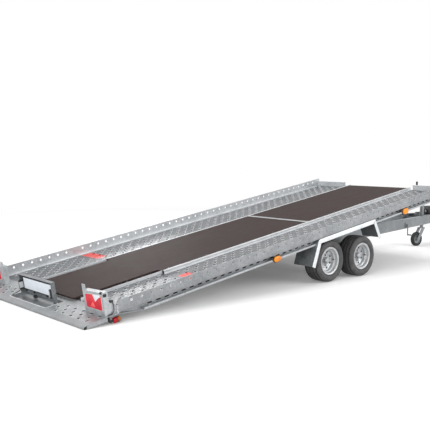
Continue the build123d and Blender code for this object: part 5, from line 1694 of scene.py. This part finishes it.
@dataclass
class PlateFittings:
    """Black surround of the blank plate, lamp windows, clips, the bracket below and the lamp's stiff lead."""

    frame: dict
    bed: BedFrame
    finishes: FinishBook
    border: float = 5 * MM
    clip_shares: tuple[float, ...] = (0.04, 0.31, 0.76, 0.87)
    bracket_share: float = 0.33

    def build(self) -> None:
        """Add them on the plate holder, in the level bed's frame, and tip them."""
        low, high = self.bed.level_box(self.frame, "number_plate")
        lamp_low, lamp_high = self.bed.level_box(self.frame, "plate_lamps")
        b, x = self.border, low[0]
        back = high[0]
        frame_parts = [block((x - 3 * MM, low[1] - 2 * MM, high[2] - b),
                             (back, high[1] + 2 * MM, high[2] + 3 * MM)),
                       block((x - 3 * MM, low[1] - 2 * MM, low[2] - 3 * MM),
                             (back, high[1] + 2 * MM, low[2] + b)),
                       block((x - 3 * MM, high[1] - b, low[2] + b), (back, high[1] + 2 * MM, high[2] - b)),
                       block((x - 3 * MM, low[1] - 2 * MM, low[2] + b), (back, low[1] + b, high[2] - b))]
        for share in self.clip_shares:
            y = high[1] - share * (high[1] - low[1])
            frame_parts.append(block((x + 2 * MM, y - 8 * MM, low[2] - 22 * MM),
                                     (back + 10 * MM, y + 8 * MM, low[2] - 8 * MM), 2 * MM))
        y = high[1] - self.bracket_share * (high[1] - low[1])
        frame_parts.append(block((x - 6 * MM, y - 18 * MM, low[2] - 66 * MM),
                                 (back + 8 * MM, y + 18 * MM, low[2] - 40 * MM), 3 * MM))
        y = lamp_high[1] - 6 * MM
        path = np.array([(12, 0, 6), (4, 3, -14), (-66, 22, -38)]) * MM + (lamp_low[0], y, lamp_low[2])
        frame_parts.append(tube(rounded(path, 10 * MM, 5), 3.5 * MM, 8))
        black = joined(frame_parts)
        inner = lamp_high[1] - 26 * MM
        window = block((lamp_low[0] - 0.7 * MM, inner - 0.8 * MM, lamp_low[2] + 12 * MM),
                       (lamp_low[0] + 34 * MM, inner + 12 * MM, lamp_high[2] - 12 * MM), 0.6 * MM)
        put("plate_surround_and_clips", black.moved(self.bed.matrix()), [self.finishes.plastic],
            Body.PLATE.value)
        put("plate_lamp_windows", both_sides(window).moved(self.bed.matrix()), [self.finishes.window],
            Body.PLATE.value)


@dataclass
class Markers:
    """Amber side markers on black bases, and end markers with red and amber domes on rubber arms."""

    frame: dict
    bed: BedFrame
    finishes: FinishBook
    half_length: float = 48 * MM
    half_height: float = 32 * MM
    front_share: float = 1.2
    end_radius: float = 24 * MM
    arm_radius: float = 10 * MM
    arm_back: float = 68 * MM

    def side(self) -> Shell:
        """Stack one side marker from its base: a round-ended outline, drawn in to the dome.

        Returns:
            The marker's shell, its base on z = 0.
        """
        outline = round_box(self.half_length, self.half_height, 27 * MM, 8)
        base = prism(outline, ((0.0, 0.0), (7 * MM, 0.0), (9 * MM, 2 * MM)))
        dome = prism(outline, tuple((z * MM, inset * MM) for z, inset in ((4, 5), (15, 5), (19, 7), (22, 11),
                                                                          (24, 19))))
        return joined([painted(base, 0), painted(dome, 1)])

    def build(self) -> None:
        """Make all markers in place of their CAD nodes."""
        f = self.finishes
        low, high = self.bed.level_box(self.frame, "side_markers")
        turn = turn_matrix((0, 1, 0), (1, 0, 0))
        z = (low[2] + high[2]) / 2
        shape = self.side().moved(turn)
        rear = shape.at(np.array([(low[0] + self.half_length, high[1] - 24.2 * MM, z)]))
        larger = shape.moved(np.diag([self.front_share, 1.0, self.front_share, 1.0]))
        front = larger.at(np.array([(high[0] - self.half_length, high[1] - 24.2 * MM, z)]))
        put("oval_side_markers", both_sides(joined([rear, front])).moved(self.bed.matrix()),
            [f.rubber, f.side_amber], Body.BED.value, ("side_markers",), smooth=40.0)
        low, high = self.bed.level_box(self.frame, "outline_markers")
        r = self.end_radius
        x1, y, z = high[0], high[1] - r, low[2] + r
        half = 33 * MM
        dome = np.array([(half, 0.0), (half - 1 * MM, r * 0.45), (half - 4 * MM, r * 0.78),
                         (half - 10 * MM, r * 0.97), (half - 16 * MM, r), (3.5 * MM, r)])
        band = np.array([(4 * MM, r * 0.9), (4 * MM, r), (-4 * MM, r), (-4 * MM, r * 0.9)])
        lens = joined([painted(turned(dome, 24), 1), painted(turned(band, 24), 0),
                       painted(turned((dome * (-1, 1))[::-1], 24), 2)])
        to_x = np.eye(4)
        to_x[:3, 0], to_x[:3, 1], to_x[:3, 2] = (0, 1, 0), (-1, 0, 0), (0, 0, 1)
        to_x[:3, 3] = (x1 - half, y, z)
        bend = x1 - half - self.arm_back
        line = rounded(np.array([(bend, y, high[2]), (bend, y, z), (x1 - half, y, z)]), 14 * MM, 6)
        arm = tube(line, self.arm_radius, 14)
        collar = tube(np.array([(bend, y, high[2] - 6 * MM), (bend, y, high[2])]), 15 * MM, 14)
        made = both_sides(joined([lens.moved(to_x), painted(arm, 0), painted(collar, 0)]))
        put("end_markers", made.moved(self.bed.matrix()), [f.rubber, f.end_red, f.amber_lens], Body.BED.value,
            ("outline_markers",), smooth=40.0)


# ---------------------------------------------------------------- fixings
@dataclass
class Fixings:
    """Bolts and dome heads where such trailers have them: panels, apron, axle saddles, pivot and housing."""

    frame: dict
    bed: BedFrame
    finishes: FinishBook
    screw_pitch: float = 480 * MM
    screw_inset: float = 26 * MM

    def panel_screws(self) -> Shell:
        """Sink a row of screws along both long edges of each plywood panel.

        Returns:
            All of them, on the level bed.
        """
        head = DomeHead(4.5, 0.9).shell()
        places = []
        for node in ("deck_panel_rear", "deck_panel_front"):
            low, high = self.bed.level_box(self.frame, node)
            count = int((high[0] - low[0] - 4 * self.screw_inset) / self.screw_pitch) + 1
            for x in np.linspace(low[0] + 2 * self.screw_inset, high[0] - 2 * self.screw_inset, count + 1):
                places += [(x, high[1] - self.screw_inset, high[2]), (x, low[1] + self.screw_inset, high[2])]
        return head.at(np.array(places))

    def apron_bolts(self) -> Shell:
        """Set two dome heads on either side of the apron, along its front strip.

        Returns:
            All of them, on the level bed.
        """
        _, high = self.bed.level_box(self.frame, "rear_apron")
        head = DomeHead(8.0, 3.0).shell()
        places = [(high[0] - 45 * MM, y, high[2]) for y in (0.66, 0.70)]
        return both_sides(head.at(np.array(places)))

    def chassis_bolts(self) -> Shell:
        """Bolt the axle saddles, the pivot shaft's ends and the overrun housing.

        Returns:
            All of them.
        """
        parts = []
        foot = Bolt(12.0).shell().moved(turn_matrix((0, 0, -1)))
        beam_low, beam_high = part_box("drawbar_beam_left")
        for node in ("axle_front", "axle_rear"):
            _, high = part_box(node)
            x = high.x - 35 * MM
            spots = [(x + dx, beam_high.y - 45 * MM, beam_low.z) for dx in (-55 * MM, 55 * MM)]
            parts.append(both_sides(foot.at(np.array(spots))))
        low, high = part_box("pivot_shaft")
        end = ((low.x + high.x) / 2, high.y, (low.z + high.z) / 2)
        nut = Bolt(26.0).shell().moved(turn_matrix((0, 1, 0), (1, 0, 0), end))
        parts.append(both_sides(nut))
        low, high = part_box("overrun_housing")
        side = Bolt(11.0).shell().moved(turn_matrix((0, 1, 0)))
        spots = [(x, 56 * MM, z) for x in (low.x + 45 * MM, high.x - 45 * MM)
                 for z in (low.z + 30 * MM, high.z - 42 * MM)]
        parts.append(both_sides(side.at(np.array(spots))))
        return joined(parts)

    def build(self) -> None:
        """Add all fixings."""
        tipped = self.bed.matrix()
        for name, shell, body in (("panel_screws", self.panel_screws().moved(tipped), Body.BED),
                                  ("apron_bolts", self.apron_bolts().moved(tipped), Body.BED),
                                  ("chassis_bolts", self.chassis_bolts(), Body.CHASSIS)):
            put(name, shell, [self.finishes.fixings], body.value)


# ---------------------------------------------------------------- studio
@dataclass
class Studio:
    """Pale floor that melts into white, white surroundings, soft lamps and the camera."""

    camera_place: tuple[float, float, float] = (-6.028, -5.498, 1.324)
    camera_yaw: float = 48.27
    camera_pitch: float = -5.12
    camera_roll: float = 0.20
    lens_mm: float = 58.76
    sensor_mm: float = 36.0
    sight: float = 400.0
    floor_half: float = 60.0
    fade_start: float = 4.6
    fade_end: float = 9.0
    paper_glow: float = 0.13
    ambient: float = 0.5

    def floor(self) -> None:
        """Lay the floor: paper that takes shadows, a little brighter than lit, and pure white further out."""
        half = self.floor_half
        mesh = bpy.data.meshes.new("studio_floor")
        mesh.from_pydata([(-half, -half, 0), (half, -half, 0), (half, half, 0), (-half, half, 0)], [],
                         [(0, 1, 2, 3)])
        material, tree = new_material("studio_paper")
        ray = add_node(tree, "ShaderNodeLightPath").outputs["Is Camera Ray"]
        paper = add_node(tree, "ShaderNodeBsdfDiffuse", {}, {"Color": (0.86, 0.86, 0.86, 1)})
        bright = add_node(tree, "ShaderNodeBsdfDiffuse", {}, {"Color": (1, 1, 1, 1)})
        glow = add_node(tree, "ShaderNodeEmission", {}, {"Color": (1, 1, 1, 1), "Strength": self.paper_glow})
        white = add_node(tree, "ShaderNodeEmission", {}, {"Color": (1, 1, 1, 1), "Strength": 1.0})
        both = add_node(tree, "ShaderNodeAddShader", {}, {0: bright.outputs[0], 1: glow.outputs[0]})
        spot = add_node(tree, "ShaderNodeVectorMath", {"operation": "LENGTH"},
                        {0: add_node(tree, "ShaderNodeTexCoord").outputs["Object"]})
        away = add_node(tree, "ShaderNodeMapRange", {},
                        {0: spot.outputs["Value"], 1: self.fade_start, 2: self.fade_end}).outputs[0]
        melted = add_node(tree, "ShaderNodeMixShader", {}, {0: away, 1: both.outputs[0], 2: white.outputs[0]})
        seen = add_node(tree, "ShaderNodeMixShader", {}, {0: ray, 1: paper.outputs[0], 2: melted.outputs[0]})
        add_node(tree, "ShaderNodeOutputMaterial", {}, {"Surface": seen.outputs[0]})
        mesh.materials.append(material)
        floor = bpy.data.objects.new("studio_floor", mesh)
        bpy.context.scene.collection.objects.link(floor)

    def world(self) -> None:
        """Surround the scene: pure white to the camera, gloss and clear plastic, dimmer as a light."""
        world = bpy.data.worlds.new("studio_white")
        bpy.context.scene.world = world
        world.use_nodes = True
        tree = world.node_tree
        tree.nodes.clear()
        path = add_node(tree, "ShaderNodeLightPath")
        seen = add_node(tree, "ShaderNodeMath", {"operation": "MAXIMUM"},
                        {0: path.outputs["Is Camera Ray"], 1: path.outputs["Is Transmission Ray"]})
        seen = add_node(tree, "ShaderNodeMath", {"operation": "MAXIMUM"},
                        {0: seen.outputs[0], 1: path.outputs["Is Glossy Ray"]})
        soft = add_node(tree, "ShaderNodeBackground", {}, {"Color": (1, 1, 1, 1), "Strength": self.ambient})
        white = add_node(tree, "ShaderNodeBackground", {}, {"Color": (1, 1, 1, 1), "Strength": 1.0})
        mix = add_node(tree, "ShaderNodeMixShader", {},
                       {0: seen.outputs[0], 1: soft.outputs[0], 2: white.outputs[0]})
        add_node(tree, "ShaderNodeOutputWorld", {}, {"Surface": mix.outputs[0]})

    def lamp(self, name: str, place: tuple, target: tuple, size: float, power: float) -> None:
        """Hang one square soft box.

        Args:
            name: the lamp's name.
            place: where it hangs.
            target: where it points.
            size: side of the square.
            power: watts.
        """
        light = bpy.data.lights.new(name, "AREA")
        light.size = size
        light.energy = power
        lamp = bpy.data.objects.new(name, light)
        lamp.location = place
        lamp.rotation_mode = "QUATERNION"
        lamp.rotation_quaternion = (Vector(target) - Vector(place)).to_track_quat("-Z", "Y")
        lamp.visible_camera = False
        bpy.context.scene.collection.objects.link(lamp)

    def camera(self) -> None:
        """Set the camera up from its place, yaw, pitch and roll."""
        data = bpy.data.cameras.new("studio_camera")
        data.lens = self.lens_mm
        data.sensor_width = self.sensor_mm
        data.clip_end = self.sight
        camera = bpy.data.objects.new("studio_camera", data)
        yaw, pitch = math.radians(self.camera_yaw), math.radians(self.camera_pitch)
        way = Vector((math.cos(pitch) * math.cos(yaw), math.cos(pitch) * math.sin(yaw), math.sin(pitch)))
        camera.rotation_mode = "QUATERNION"
        aim = way.to_track_quat("-Z", "Y")
        roll = Matrix.Rotation(-math.radians(self.camera_roll), 4, way).to_quaternion()
        camera.rotation_quaternion = roll @ aim
        camera.location = self.camera_place
        bpy.context.scene.collection.objects.link(camera)
        bpy.context.scene.camera = camera

    def build(self) -> None:
        """Set up the whole studio: soft boxes at the near front, behind, above and beyond the far lane."""
        bpy.context.scene.view_settings.view_transform = "Standard"
        self.camera()
        self.floor()
        self.world()
        self.lamp("key_softbox", (4.5, -8.0, 3.6), (0.0, 0.0, 0.4), 6.0, 330.0)
        self.lamp("rear_softbox", (-8.5, -4.5, 2.4), (0.0, 0.0, 0.4), 4.0, 270.0)
        self.lamp("far_softbox", (2.5, 7.5, 2.7), (-1.5, 0.8, 0.5), 1.7, 75.0)
        self.lamp("top_softbox", (0.0, 0.5, 8.0), (0.0, 0.0, 0.4), 7.0, 330.0)


# ---------------------------------------------------------------- CAD nodes' finishes
def dress_nodes(frame: dict, finishes: FinishBook) -> None:
    """Give every carried-over CAD node the finish of its real part; lamp boxes, mudguards and front stops
    take painted light.

    Args:
        frame: the loaded frame.
        finishes: the finishes.
    """
    zinc = ["lane_left", "lane_right", "rear_lanes", "plate_holder"]
    # lamp boxes and mudguards: painted light, a paler copy of the zinc
    bright = ["lamp_boxes", "mudguard_left", "mudguard_right"]
    dark = ["inner_sills", "centre_cross_members", "lane_cross_members", "bed_hinge_ears",
            "drawbar_beam_left", "drawbar_beam_right", "chassis_cross_tubes", "pivot_shaft", "axle_front",
            "axle_rear",
            "jockey_clamp", "jockey_tube", "jockey_inner_tube", "jockey_fork", "bed_latch"]
    dress(frame, zinc, finishes.zinc)
    dress(frame, bright, finishes.zinc_painted_light)
    # front stops: painted highlight
    dress(frame, ["front_stops"], finishes.zinc_painted_highlight)
    dress(frame, ["side_sill_left", "side_sill_right"], finishes.sill)
    dress(frame, ["rear_apron"], finishes.apron)
    dress(frame, dark, finishes.zinc_dark)
    dress(frame, ["deck_panel_rear", "deck_panel_front", "deck_bearers"], finishes.plywood)
    dress(frame, ["deck_joint_strip"], finishes.strip)
    dress(frame, [n for n in frame["nodes"] if n.startswith("tyre_")], finishes.tyre)
    dress(frame, [n for n in frame["nodes"] if n.startswith("rim_")], finishes.wheel)
    dress(frame, ["tail_lamps"], finishes.red_lens)
    dress(frame, ["side_markers", "outline_markers"], finishes.amber_lens)
    dress(frame, ["number_plate"], finishes.plate)
    dress(frame, ["overrun_housing", "coupling_head", "parking_brake_lever", "damper_barrel"], finishes.black)
    dress(frame, ["coupling_grip", "jockey_knob", "plate_lamps"], finishes.plastic)
    dress(frame, ["draw_tube", "damper_rod"], finishes.bright)
    dress(frame, ["drawbar_bellows", "jockey_wheel"], finishes.rubber)


def main() -> None:
    """Load the frame, set the studio, and build and report each sub-assembly."""
    logging.basicConfig(level=logging.INFO, format="%(message)s")
    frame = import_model()
    Studio().build()
    bed = BedFrame.of(frame)
    finishes = FinishBook.build(bed.lane_marks(frame), bed.sill_painted_shade(frame), bed.apron_end_shade(frame))
    dress_nodes(frame, finishes)
    for assembly in (Lanes, Mudguards, Apron, TailLamps, LampFittings, PlateFittings, Markers, Fixings):
        assembly(frame, bed, finishes).build()
    for wheel in (Tyres, Rims, JockeyWheel):
        wheel(frame, finishes).build()


if __name__ == "__main__":
    main()
